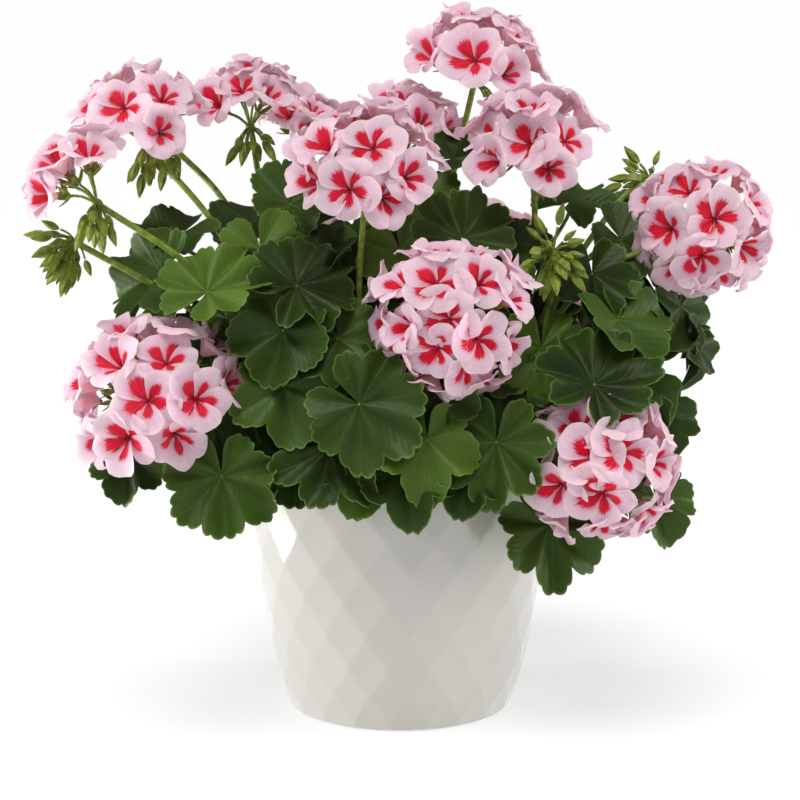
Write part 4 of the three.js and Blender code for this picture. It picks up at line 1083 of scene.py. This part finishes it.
# %% Stems
STEM_RADIUS, STALK_RADIUS, PETIOLE_RADIUS = 4.4, 1.9, 1.25
STEM_SIDES, STALK_SIDES, PETIOLE_SIDES, SHADED_SIDES = 12, 8, 7, 5
STEM_TAPER = 0.25               # how much thinner its end is
STALK_JOINTS = [0.95, 0.07]     # the first joint along the stem, and the step to the next
SHADED_RADIUS = 0.8             # a shaded leaf's petiole, times the others'
STATIONS = np.linspace(0, 1, 26)
SHORT_STATIONS = np.linspace(0, 1, 14)
CARRIED = {**HEADS, **BUD_CLUSTERS}


def tube_part(lines, radii, sides, age, blush=0.0, ribs=0, rib_depth=0):
    """Tubes as one part, with their age and blush for each station."""
    lines = np.asarray(lines)
    return part(tubes(lines, radii, sides, ribs, rib_depth), age=on_tubes(age, lines, sides),
                blush=on_tubes(blush, lines, sides))


for name, shoot in SHOOTS.items():
    controls = stem_controls(shoot)
    stem = curve(controls, STATIONS)[None]
    nodes = 1 + 0.10 * np.cos(2 * np.pi * STATIONS * 5) ** 8
    woody = np.clip(0.9 - 1.3 * STATIONS, 0, 1)
    thick = STEM_RADIUS * nodes * (1 - STEM_TAPER * STATIONS)
    parts = [tube_part(stem, thick, STEM_SIDES, woody)]
    stalks = []
    for i, carried_one in enumerate(c for c in CARRIED.values() if c["shoot"] == name):
        joint = curve(controls, [STALK_JOINTS[0] - STALK_JOINTS[1] * i])[0]
        stalks.append(curve([carried_one["at"], *carried_one["via"], joint], STATIONS))
    if stalks:
        swell = 1 + 0.5 * np.clip((STATIONS - 0.93) / 0.07, 0, 1)
        parts.append(tube_part(stalks, STALK_RADIUS * swell, STALK_SIDES, 0.0))
    petioles = [curve(petiole_controls(f["leaf"], f["n"], shoot), SHORT_STATIONS)
                for f in grown if f["shoot"] == name]
    swell = 1 + 0.7 * np.clip((0.12 - SHORT_STATIONS) / 0.12, 0, 1)
    parts.append(tube_part(petioles, PETIOLE_RADIUS * swell, PETIOLE_SIDES, 0.0))
    shaded = [curve(petiole_controls(f["leaf"], f["n"], shoot), SHORT_STATIONS)
              for f in inner if nearest_shoot(f["leaf"]) == name]
    parts.append(tube_part(shaded, PETIOLE_RADIUS * SHADED_RADIUS * swell, SHADED_SIDES, 0.0))
    make_piece("stems_" + name, parts, stalk_skin)

# %% [markdown]
# ## Flowers
# The flowers of a head stand on a dome round the umbel's centre. Those that show from the front come
# first, each at its own place. More follow on a spiral, wherever there is room between those that are
# there, so that the dome closes without two flowers at one spot.

# %% Flowers of a head
SHOWN_SPACING = 24          # degrees at least between flowers that show from the front
FLOWER_SPACING = 31         # and between the others
DOME_SPOTS = 160            # places that are tried on the dome
DOME_MARGIN = 4             # degrees that the spiral stays inside the dome's edge


def flower_ways(h):
    """The unit directions of a head's flowers, seen from its centre."""
    axis = direction(*h["faces"])
    up, nearer = direction(90, 90 - VIEW_DOWN), direction(-90, VIEW_DOWN)
    ways = []
    for across, above in h["shows"]:
        shrink = min(1, 0.98 * h["reach"] / math.hypot(across, above))
        x, z = across * shrink, above * shrink
        depth = math.sqrt(h["reach"] ** 2 - x ** 2 - z ** 2)
        ways.append(unit(np.array([x, 0, 0]) + z * up + depth * nearer))
    i = np.arange(DOME_SPOTS)
    widest = 1 - math.cos(math.radians(h["opens"] - DOME_MARGIN))
    elevation = np.degrees(np.arcsin(1 - widest * (i + 0.5) / DOME_SPOTS))
    spiral = carried(direction(i * GOLDEN_ANGLE, elevation), UP, axis)
    kept = []
    for k, way in enumerate([*ways, *spiral]):
        room = math.cos(math.radians(SHOWN_SPACING if k < len(ways) else FLOWER_SPACING))
        if all(way @ other < room for other in kept) and (
                way @ axis > math.cos(math.radians(h["opens"]))):
            kept.append(way)
    return np.array(kept)


def flower_axes(ways):
    """Across, upwards and outwards for each flower, with a small turn of its own."""
    i = np.arange(len(ways))
    flat = unit(np.stack([-ways[:, 1], ways[:, 0], np.full(len(ways), 1e-3)], axis=-1))
    sideways = turned(flat, ways, (0.6 * draw(i, 20) - 0.3)[:, None])
    upwards = unit(np.cross(ways, sideways))
    return np.cross(upwards, ways), upwards, ways


print("flowers in the top head:", len(flower_ways(HEADS["top"])))

# %% [markdown]
# Each flower has five broad petals on narrow claws, flared like a shallow funnel. Two that stand side
# by side are larger. A petal is a function of its length and width: it widens quickly from the claw,
# its tip is rounded by drawing the corners back, one edge is lifted over the next petal, and the rim
# waves. A half-closed flower stands its petals up into a narrower funnel, and they are a little shorter.
# Flat petals cut from a sheet would look right from in front only, and half of these are seen aslant.

# %% Petals
PETALS = 5
PETAL_ROWS = np.array([0.04, 0.24, 0.46, 0.68, 0.88, 1.0])[:, None]
PETAL_COLUMNS = np.sin(np.linspace(-np.pi / 2, np.pi / 2, 11))[None]
PETAL_THICKNESS = 0.3
PETAL_WIDTH = 0.49          # half the width, times the length
PETAL_ROUNDING = 0.55       # how far back its corners are drawn
PETAL_LENGTHS = [0.88, 0.18]        # times the flower's radius: the shortest, and the range above it
LARGER_PETALS = 1.10        # the first two petals, times the others
BLOOM_RISE = 5
FUNNEL_RISE = 15            # more rise where a flower stands half closed, as a funnel
FUNNEL_SHORTER = [0.07, 0.2]        # how much shorter its petals are: at once, and when it is shut
FUNNEL_WIDER = 0.2          # and how much wider for their length, so that the funnel closes
CLAW_WIDTH = 0.10           # the claw, times the petal's width
FIRST_PETAL = 126           # degrees, so that the third petal points straight down


def petal_grids(seats, axes, radius, seed, funnel):
    """Grids of all petals of some flowers, for a share s of the way out and w from side to side.
    x = length * s * (1 - rounding * (1 - sqrt(1 - (0.96 w)^2)) + a small wave of w)
    y = half width * w * (claw + (1 - claw) * sine of s)
    z = a line that rises and flares out, with twist, dome and waves"""
    s, w = PETAL_ROWS, PETAL_COLUMNS
    flower = np.arange(len(seats))[:, None, None, None]
    petal = np.arange(PETALS)[None, :, None, None]
    number = seed + flower * PETALS + petal
    larger = np.where((petal == 0) | (petal == 1), LARGER_PETALS, 1)
    closed = funnel[:, None, None, None]
    shorter = 1 - FUNNEL_SHORTER[0] * np.clip(4 * closed, 0, 1)
    varied = PETAL_LENGTHS[0] + PETAL_LENGTHS[1] * draw(number, 51)
    length = radius * shorter * varied * larger * (1 - FUNNEL_SHORTER[1] * closed)
    rise = (BLOOM_RISE * (0.4 + 1.3 * draw(seed + flower, 52)) + 4.5 * (draw(number, 53) - 0.5)
            + FUNNEL_RISE * closed * (0.75 + 0.5 * draw(number, 60)))
    phase = FULL_TURN * draw(number, 56)
    outline = 1 - PETAL_ROUNDING * (1 - np.sqrt(1 - (0.96 * w) ** 2)) + 0.03 * np.sin(4 * w + phase)
    widening = CLAW_WIDTH + (1 - CLAW_WIDTH) * np.sin(np.pi / 2 * s) ** 1.1
    x = length * s * outline
    y = PETAL_WIDTH * (1 + FUNNEL_WIDER * closed) * length * larger * w * widening
    dome = 5.5 * (draw(number, 54) - 0.35)
    curl = 4.0 * draw(number, 55) - 1.0 + 2.5 * closed
    z = (rise * (1 - (1 - s) ** 2) - curl * s ** 4 + 1.5 * w * s
         - dome * w ** 2 * s ** 2
         + 1.5 * s ** 2 * np.sin(3.4 * w + phase)
         + 0.6 * s ** 6 * np.sin(8 * w + 2 * phase))
    turn = np.radians(FIRST_PETAL + 360 / PETALS * petal) + 0.22 * (draw(number, 57) - 0.5)
    across, upwards, outwards = (a[:, None, None, None] for a in axes)
    flat_x = (x * np.cos(turn) - y * np.sin(turn))[..., None]
    flat_y = (x * np.sin(turn) + y * np.cos(turn))[..., None]
    grid = seats[:, None, None, None] + flat_x * across + flat_y * upwards + z[..., None] * outwards
    return grid.reshape(-1, *grid.shape[2:]), (number + 0 * x[..., :1, :1]).reshape(-1, 1, 1)


print("points of a petal:", PETAL_ROWS.size, "x", PETAL_COLUMNS.size)

# %% [markdown]
# With each petal's points go its place across and along it, a tone of its own, its front or back, and
# how large its red blotch is: larger on the two larger petals, smaller on half-closed flowers. A few
# short stamens stand in each throat.

# %% Petals and stamens with their values
LARGER_MARK, OTHER_MARK = 1.18, 0.96    # the blotch of the first two petals, and of the others
CLOSED_MARK = 0.35                      # how much smaller it is where the flower is shut
STAMENS = 5
STAMEN_RADII = np.array([0.35, 0.3, 0.5])
STAMEN_SIDES = 4
RED_SPOT = [0.5, 0.12]                  # the place on a petal that gives the stamens their colour
DEGREES_PER_RADIAN = 57.3


def petal_part(seats, axes, radius, seed, funnel):
    """The petals as closed sheets, with width and length as pattern coordinates."""
    grids, number = petal_grids(seats, axes, radius, seed, funnel)
    uv = np.stack([on_both(PETAL_COLUMNS / 2 + 0.5 + 0 * PETAL_ROWS, grids),
                   on_both(PETAL_ROWS + 0 * PETAL_COLUMNS, grids)], axis=-1)
    back = np.zeros((len(grids), 2, *grids.shape[1:3]))
    back[:, 1] = 1
    petal = np.arange(len(grids))[:, None, None] % PETALS
    small = 1 - CLOSED_MARK * np.repeat(funnel, PETALS)[:, None, None]
    mark = np.where(petal < 2, LARGER_MARK, OTHER_MARK) * (0.88 + 0.24 * draw(number, 59)) * small
    return part(sheets(grids, PETAL_THICKNESS), uv, tone=on_both(draw(number, 58), grids),
                back=back.ravel(), mark=on_both(mark, grids))


def stamen_part(seats, axes, seed):
    """Short stamens in each throat, thicker at their ends, coloured as the petal's red is."""
    i = np.arange(len(seats) * STAMENS)
    across, upwards, outwards = (np.repeat(a, STAMENS, axis=0) for a in axes)
    turn = (i % STAMENS * 72 + 36 + 30 * draw(i + seed, 61))[:, None] / DEGREES_PER_RADIAN
    lean = across * np.cos(turn) + upwards * np.sin(turn)
    foot = np.repeat(seats, STAMENS, axis=0) + 0.5 * lean
    tip = foot + 1.1 * lean + (3.0 + 1.5 * draw(i, 62))[:, None] * outwards
    lines = np.stack([foot, (foot + tip) / 2 + 0.2 * outwards, tip], axis=1)
    shape = tubes(lines, STAMEN_RADII, STAMEN_SIDES)
    uv = np.tile(RED_SPOT, (len(shape[0]), 1))
    level = np.ones(len(shape[0]))
    return part(shape, uv, tone=level / 2, back=0 * level, mark=level)


print("petals and stamens in each flower:", PETALS, "and", STAMENS)

# %% [markdown]
# A petal's red blotch runs out in feathers along its veins. It is an oval in the petal's own
# coordinates, roughened by noise that is drawn out along the petal. Past its edge a pink halo fades
# out, as where the colour has run a little way into the tissue.

# %% Petal tissue: the blotch
BLOTCH_MIDDLE = (0.5, 0.28, 0)          # across and along the petal
BLOTCH_ACROSS, BLOTCH_ALONG = 0.36, 0.33
FEATHERS = (24, 2.2, 1)                 # of the noise, across and along a petal
PETAL_NOISE_STEP = 37.0                 # from one petal's part of the noise to another's
petal_tissue, tree, out = start_finish("pink petal tissue")
uv = add(tree, "UVMap", {"uv_map": "pattern"})
axes = add(tree, "SeparateXYZ", links={0: uv})
tone = add(tree, "Attribute", {"attribute_name": "tone"}).outputs["Fac"]
back = add(tree, "Attribute", {"attribute_name": "back"}).outputs["Fac"]
mark = add(tree, "Attribute", {"attribute_name": "mark"}).outputs["Fac"]
seed = add(tree, "Math", {"operation": "MULTIPLY", 1: PETAL_NOISE_STEP}, {0: tone})
spot = add(tree, "CombineXYZ", links={0: axes.outputs[0], 1: axes.outputs[1], 2: seed})
drawn_out = add(tree, "VectorMath", {"operation": "MULTIPLY", 1: FEATHERS}, {0: spot})
feather = add(tree, "TexNoise", {"Scale": 1.0, "Detail": 3}, {"Vector": drawn_out}).outputs["Fac"]
centred = add(tree, "VectorMath", {"operation": "SUBTRACT", 1: BLOTCH_MIDDLE}, {0: uv})
oval = add(tree, "VectorMath", {"operation": "MULTIPLY",
                                1: (1 / BLOTCH_ACROSS, 1 / BLOTCH_ALONG, 0)}, {0: centred})
length = add(tree, "VectorMath", {"operation": "LENGTH"}, {0: oval}).outputs["Value"]
away = add(tree, "Math", {"operation": "DIVIDE"}, {0: length, 1: mark})
ragged = add(tree, "Math", {"operation": "MULTIPLY_ADD", 1: 0.9}, {0: feather, 2: away})
blotch = add(tree, "MapRange", {"interpolation_type": "SMOOTHSTEP", "From Min": 1.18, "From Max": 1.42,
                                "To Min": 1.0, "To Max": 0.0}, {"Value": ragged})
halo = add(tree, "MapRange", {"interpolation_type": "SMOOTHSTEP", "From Min": 1.25, "From Max": 1.7,
                              "To Min": 0.4, "To Max": 0.0}, {"Value": ragged})
print("nodes for the blotch:", len(tree.nodes))

# %% [markdown]
# The petal itself is thin, moist tissue: pale lilac-pink with slightly deeper streaks, nearly white at
# its rim, and some petals are more bleached than others. The red is deepest in the throat. The back
# of a petal is paler and shows no red.

# %% Petal tissue: pinks and reds
body = add(tree, "ValToRGB", links={"Fac": axes.outputs[1]})
body.color_ramp.elements[0].color = linear("#f3d6e6")
body.color_ramp.elements[1].color = linear("#fbf1f8")
body.color_ramp.elements[0].position, body.color_ramp.elements[1].position = 0.2, 0.95
streaks = add(tree, "MapRange", {"From Min": 0.4, "From Max": 0.75, "To Max": 0.45}, {"Value": feather})
veined = add(tree, "MixRGB", {"Color2": linear("#e9b3cd")}, {"Fac": streaks, "Color1": body})
sideways = add(tree, "MapRange", {"From Min": 0.0, "From Max": 1.0, "To Min": -1.0, "To Max": 1.0},
               {"Value": axes.outputs[0]})
beside = add(tree, "Math", {"operation": "ABSOLUTE"}, {0: sideways})
outermost = add(tree, "Math", {"operation": "MAXIMUM"}, {0: beside, 1: axes.outputs[1]})
margin = add(tree, "MapRange", {"From Min": 0.84, "From Max": 1.0, "To Max": 0.75}, {"Value": outermost})
faded = add(tree, "Math", {"operation": "MULTIPLY", 1: 0.55}, {0: tone})
aged = add(tree, "MixRGB", {"Color2": linear("#f9eff4")}, {"Fac": faded, "Color1": veined})
edged = add(tree, "MixRGB", {"Color2": linear("#fdf3f0")}, {"Fac": margin, "Color1": aged})
glow = add(tree, "MixRGB", {"Color2": linear("#ee7f9f")}, {"Fac": halo, "Color1": edged})
red = add(tree, "ValToRGB", links={"Fac": feather})
red.color_ramp.elements[0].position, red.color_ramp.elements[1].position = 0.35, 0.6
red.color_ramp.elements[0].color = linear("#cf0a36")
red.color_ramp.elements[1].color = linear("#ff2149")
throat = add(tree, "MapRange", {"From Min": 0.05, "From Max": 0.26, "To Min": 0.45, "To Max": 0.0},
             {"Value": axes.outputs[1]})
deep = add(tree, "MixRGB", {"Color2": linear("#8c0a2c")}, {"Fac": throat, "Color1": red})
front = add(tree, "MixRGB", links={"Fac": blotch, "Color1": glow, "Color2": deep})
behind = add(tree, "MixRGB", {"Color2": linear("#fdedf5")}, {"Fac": back, "Color1": front})
print("nodes with the colours:", len(tree.nodes))

# %% [markdown]
# A petal is so thin that about half of the light shines through it, a little lighter than its colour.
# That makes a head of flowers glow instead of looking like painted card. Fine crinkles along the petal
# break up what little gloss it has.

# %% Petal tissue: relief and light
crinkle = add(tree, "Bump", {"Strength": 0.35, "Distance": 0.0006}, {"Height": feather})
skin = add(tree, "BsdfPrincipled", {"Roughness": 0.55, "IOR": 1.38, "Specular IOR Level": 0.3},
           {"Base Color": behind, "Normal": crinkle})
lit = add(tree, "MixRGB", {"Fac": 0.25, "Color2": linear("#ffe4ef")}, {"Color1": behind})
through = add(tree, "BsdfTranslucent", links={"Color": lit})
mixed = add(tree, "MixShader", {"Fac": 0.52}, {1: skin, 2: through})
tree.links.new(mixed.outputs[0], out.inputs[0])
print("nodes of the petal's tissue:", len(tree.nodes))

# %% [markdown]
# Now each head gets its flowers. Those that show are wide open in its middle and close up towards its
# limb, so that they don't cover the red of their neighbours. The others are about half closed or more,
# but in the heads at the back, where none is listed, two in five are open too.

# %% Florets
FLOWER_LEAN = 0.7               # how far a flower may lean from straight outwards
SHOWN_LEAN, OTHER_LEAN = 0.5, 0.6       # times that, for flowers that show from the front, and others
FULLY_OPEN = 0.4                # share of the flowers that are open, in the heads at the back
LIMB_START, LIMB_WIDTH = 0.5, 0.45      # the zone where flowers close up, times the head's reach
LIMB_CLOSED = 0.75              # how far the flowers at its limb are closed
HEAD_STEP, PETAL_STEP = 40, 500         # numbers for the draws of one head and of its petals
flowers = {}
for number, (name, h) in enumerate(HEADS.items()):
    ways = flower_ways(h)
    i = np.arange(len(ways)) + HEAD_STEP * number
    lift = h["reach"] * (1 + 0.10 * (draw(i, 21) - 0.5))
    shown = np.arange(len(ways)) < len(h["shows"])
    closing = 0.45 + 0.55 * draw(i, 26)
    if not h["shows"]:
        closing = np.where(draw(i, 24) < FULLY_OPEN, 0.1, closing)
    from_middle = np.zeros(len(ways))
    from_middle[:len(h["shows"])] = np.hypot(*np.array(h["shows"]).reshape(-1, 2).T) / h["reach"]
    at_limb = LIMB_CLOSED * np.clip((from_middle - LIMB_START) / LIMB_WIDTH, 0, 1)
    funnel = np.where(shown, at_limb, closing)
    seats = h["at"] + ways * (lift - 0.6 * FUNNEL_RISE * funnel)[:, None]
    across, upwards, _ = flower_axes(ways)
    lean = FLOWER_LEAN * np.where(shown, SHOWN_LEAN, OTHER_LEAN)[:, None]
    faced = unit(ways + lean * ((draw(i, 22) - 0.5)[:, None] * across
                                + (draw(i, 23) - 0.5)[:, None] * upwards))
    flowers[name] = {"seats": seats, "faced": faced}
    axes = flower_axes(faced)
    parts = [petal_part(seats, axes, h["bloom"], PETAL_STEP * number, funnel),
             stamen_part(seats, axes, number)]
    make_piece("florets_" + name, parts, petal_tissue, [f"head_{name}_petals"])
print("flowers:", sum(len(f["seats"]) for f in flowers.values()))

# %% [markdown]
# ## Umbels and buds
# Behind the petals every flower sits in a calyx of five pointed sepals on its own thin pedicel, and all
# the pedicels spring from one small knob at the end of the stalk. Buds hang round it: five sepals
# closed over the petals into a ribbed spindle, drooping on a bent pedicel. A smooth spindle would look
# like a seed, so the rings of a bud go in and out five times round.

# %% Pedicels and sepals
PEDICEL_RADIUS = 0.75
PEDICEL_SIDES = 6
FOOT_DROP = 8               # the calyx's foot below the throat
SEPALS = 5
SEPAL_LENGTH = 9
SEPAL_THICKNESS = 0.4
SEPAL_BLUSH = 0.15          # at its tip


def pedicel_part(centre, seats, faced):
    """Bent tubes from the umbel's centre to each flower's foot, swelling into the calyx."""
    feet = seats - FOOT_DROP * faced
    lines = np.stack([curve([centre, centre + 0.55 * (foot - centre) + 1.5 * UP, foot, foot + 3 * out],
                            SHORT_STATIONS[::2]) for foot, out in zip(feet, faced)])
    radii = PEDICEL_RADIUS * np.interp(SHORT_STATIONS[::2], [0, 0.66, 0.9, 1], [1.1, 1.0, 2.1, 1.3])
    blush = np.clip(SHORT_STATIONS[::2] - 0.5, 0, 1) * 0.5
    return tube_part(lines, radii, PEDICEL_SIDES, 0.0, blush)


def sepal_part(seats, faced):
    """Five pointed sepals behind each flower: width = w * sin(pi * s^0.7), leaning outwards."""
    s, w = np.linspace(0.03, 0.97, 4)[:, None], np.linspace(-1, 1, 3)[None]
    across, upwards, outwards = flower_axes(faced)
    turn = np.radians(FIRST_PETAL + 360 / SEPALS * np.arange(SEPALS))[None, :, None, None]
    x = 1.0 + 0.62 * SEPAL_LENGTH * s + 0 * w
    y = 1.7 * w * np.sin(np.pi * s ** 0.7)
    z = -FOOT_DROP + 1.5 + 0.75 * SEPAL_LENGTH * s - 0.5 * w ** 2
    flat_x, flat_y = x * np.cos(turn) - y * np.sin(turn), x * np.sin(turn) + y * np.cos(turn)
    grid = (seats[:, None, None, None] + flat_x[..., None] * across[:, None, None, None]
            + flat_y[..., None] * upwards[:, None, None, None]
            + z[..., None] * outwards[:, None, None, None])
    grids = grid.reshape(-1, *grid.shape[2:])
    return part(sheets(grids, SEPAL_THICKNESS), age=on_both(0.0, grids),
                blush=on_both(SEPAL_BLUSH * s + 0 * w, grids))


print("pedicels and sepals for", sum(len(f["seats"]) for f in flowers.values()), "flowers")

# %% [markdown]
# The solids hold only the largest buds of a bunch. Beside each of them grow three smaller ones, on
# shorter pedicels, which makes the loose tassel that such a bunch of buds is.

# %% Buds
KNOB = np.array([[-3.6, 0.8], [-2.6, 2.3], [-0.6, 3.2], [1.4, 2.9], [3.0, 1.4]])    # place and radius
KNOB_SIDES = 10
BUD_STATIONS = np.linspace(0, 1, 9)
BUD_SIDES = 10
BUD_RIBS, RIB_DEPTH = 5, 0.16   # one rib for each sepal, and its depth times the radius
BUD_STALK_RADIUS = 0.8
BUD_STALKS = [11, 9]            # the shortest, and the range above it
BUD_LENGTH = 15
BUD_SPREAD = 50                 # degrees that the buds of a head stand out round their middle
STALK_ROOM = 32                 # degrees kept free of buds round the stalk
DOME_ROOM = 24                  # degrees kept free of buds below the edge of the dome
BUD_PROFILE = np.interp(BUD_STATIONS, [0, 0.08, 0.28, 0.5, 0.75, 0.92, 1],
                        [0.9, 1.6, 2.7, 2.6, 1.6, 0.7, 0.12])
BUD_SIBLINGS = 3                # smaller buds beside each that the CAD model has
SIBLING_SPREAD = 1.1
SIBLING_SIZE = [0.62, 0.4]      # times the others' size: the smallest, and the range above it


def fan(azimuth, elevation, spread, count):
    """Directions in a cone round one direction, on a golden spiral."""
    i = np.arange(count)
    ways = direction(i * GOLDEN_ANGLE, 90 - spread * np.sqrt((i + 0.5) / max(count, 1)))
    return carried(ways, UP, direction(azimuth, elevation))


def angle_between(ways, axis):
    """Degrees between unit vectors."""
    return np.degrees(np.arccos(np.clip(ways @ axis, -1, 1)))


def with_siblings(ways):
    """The ways and, for each, a few more beside it."""
    i = np.arange(len(ways) * BUD_SIBLINGS)
    shift = SIBLING_SPREAD * (np.stack([draw(i, 35), draw(i, 36), draw(i, 37)], axis=-1) - 0.5)
    return np.concatenate([ways, unit(np.repeat(ways, BUD_SIBLINGS, axis=0) + shift)])


def bud_parts(centre, first):
    """Pedicels and closed buds that droop from the umbel's centre, the first and their siblings."""
    ways = with_siblings(first)
    i = np.arange(len(ways))
    scale = np.where(i < len(first), 1, SIBLING_SIZE[0] + SIBLING_SIZE[1] * draw(i, 38))[:, None]
    length = (BUD_STALKS[0] + BUD_STALKS[1] * draw(i, 30))[:, None] * scale
    hang = unit(ways + [0, 0, -0.35])
    foot = centre + hang * length
    elbow = centre + 0.55 * length * unit(hang + [0, 0, 0.25])
    stalks = [curve([centre, e, f], SHORT_STATIONS[::2]) for e, f in zip(elbow, foot)]
    sag = unit(hang + [0, 0, -0.25])
    bodies = foot[:, None] + sag[:, None] * BUD_STATIONS[:, None] * (BUD_LENGTH * scale)[:, None]
    blushed = np.clip(BUD_STATIONS - 0.75, 0, 1) * 2.2 * (draw(i, 31)[:, None] > 0.5)
    return [tube_part(stalks, BUD_STALK_RADIUS * scale, PEDICEL_SIDES, 0.2),
            tube_part(bodies, BUD_PROFILE * scale, BUD_SIDES, 0.12, blushed, BUD_RIBS, RIB_DEPTH)]


def knob_part(centre, axis):
    """The small swelling where the pedicels meet."""
    line = centre + axis * KNOB[:, :1]
    return tube_part([line], KNOB[:, 1], KNOB_SIDES, 0.15)


print("a fan of three:", fan(0, 0, BUD_SPREAD, 3).round(2).tolist())

# %% [markdown]
# Each umbel is put together at the end of its stalk. The buds keep clear of the stalk and of the dome
# of flowers, and a cluster whose flowers are all still closed is an umbel with nothing but buds.


# %% Umbels
def umbel_parts(centre, via, ways):
    """Knob and buds, with no bud where the stalk is."""
    stalk = unit(np.array(via[0], float) - centre)
    ways = ways[angle_between(ways, stalk) > STALK_ROOM] if len(ways) else ways
    return [knob_part(centre, -stalk)] + (bud_parts(centre, ways) if len(ways) else [])


for name, h in HEADS.items():
    count, azimuth, elevation = h["buds"]
    ways = fan(azimuth, elevation, BUD_SPREAD, count)
    ways = ways[angle_between(ways, direction(*h["faces"])) > h["opens"] + DOME_ROOM]
    own = flowers[name]
    parts = umbel_parts(h["at"], h["via"], ways) + [
        pedicel_part(h["at"], own["seats"], own["faced"]), sepal_part(own["seats"], own["faced"])]
    make_piece("umbel_" + name, parts, stalk_skin, [f"head_{name}_stalks"])

for name, c in BUD_CLUSTERS.items():
    ways = fan(*c["toward"], c["spread"], c["count"])
    parts = umbel_parts(np.array(c["at"], float), c["via"], ways)
    make_piece("cluster_" + name, parts, stalk_skin, [name])

# %% [markdown]
# ## Floor and light
# The plant stands on a wide sheet of white paper. Lit by the lamps alone it would look grey, or the
# shadow on it too dark. So it glows a little itself: it stays white up to the horizon, and the shadow
# beside the pot is faint and soft.

# %% Floor
FLOOR_HALF = 60             # metres, so far that its edge isn't seen
FLOOR_GLOW = 0.65
corners = [(x * FLOOR_HALF, y * FLOOR_HALF, 0) for x, y in ((-1, -1), (1, -1), (1, 1), (-1, 1))]
floor_mesh = bpy.data.meshes.new("floor")
floor_mesh.from_pydata(corners, [], [(0, 1, 2, 3)])
floor = bpy.data.objects.new("floor", floor_mesh)
bpy.context.scene.collection.objects.link(floor)
paper, tree, out = start_finish("white studio paper")
shader = add(tree, "BsdfPrincipled",
             {"Base Color": linear("#a4a4a4"), "Roughness": 0.9, "Specular IOR Level": 0.1,
              "Emission Color": linear("#ffffff"), "Emission Strength": FLOOR_GLOW})
tree.links.new(shader.outputs[0], out.inputs[0])
floor_mesh.materials.append(paper)
print("floor:", 2 * FLOOR_HALF, "m wide")

# %% [markdown]
# The light is that of a product studio: a dim even sky, and a very soft sun high in front, a little to
# the left, which lights the tops of the flowers and keeps the crown's depth dark. Two panels at the
# sides shape the round of the pot, and a large one in front fills the shadows. Last, a small panel low
# at the left is mirrored by one diamond of the glaze. It is hidden from diffuse light, so all that it
# adds is that highlight.

# %% Light
SKY_STRENGTH = 0.2
SUN_SPREAD = 40             # degrees across, for shadows without an edge
PICTURE_GAMMA = 0.88        # deepens the middle tones a little, as in the picture

sky = bpy.data.worlds.new("sky")
bpy.context.scene.world = sky
sky.use_nodes = True
sky.node_tree.nodes["Background"].inputs["Color"].default_value = (1, 1, 1, 1)
sky.node_tree.nodes["Background"].inputs["Strength"].default_value = SKY_STRENGTH


def lamp(name, kind, place, aim, power, size):
    """A lamp at a place in metres, turned to shine at another: a sun with its spread in degrees, or a
    panel with its width and height."""
    made = bpy.data.objects.new(name, bpy.data.lights.new(name, kind))
    bpy.context.scene.collection.objects.link(made)
    made.location = place
    z = unit(np.array(place, float) - np.array(aim, float))
    x = unit(np.cross(UP, z))
    y = np.cross(z, x)
    made.rotation_mode = "QUATERNION"
    made.rotation_quaternion = Matrix(np.stack([x, y, z], axis=-1).tolist()).to_quaternion()
    made.data.energy = power
    if kind == "SUN":
        made.data.angle = math.radians(size)
    else:
        made.data.shape = "RECTANGLE"
        made.data.size, made.data.size_y = size
    return made


lamp("overhead", "SUN", (-0.25, -0.9, 2.6), (0, 0, 0.2), 2.45, SUN_SPREAD)
lamp("left_panel", "AREA", (-1.7, 0.0, 0.35), (0, 0, 0.15), 22, (0.6, 0.7))
lamp("right_panel", "AREA", (1.7, 0.0, 0.45), (0, 0, 0.15), 15, (0.5, 0.9))
lamp("front_panel", "AREA", (-0.7, -2.4, 1.3), (0, 0, 0.3), 8, (1.4, 1.2))
glint = lamp("glint", "AREA", (-0.452, 0.045, 0.06), (-0.08, -0.055, 0.15), 1.0, (0.09, 0.11))
glint.visible_diffuse = False

bpy.context.scene.view_settings.view_transform = "Standard"
bpy.context.scene.view_settings.gamma = PICTURE_GAMMA

# %% [markdown]
# ## Size of the meshes
# The triangles that all the pieces added are counted up.

# %% Finish
print("triangles added:", sum(triangle_counts))
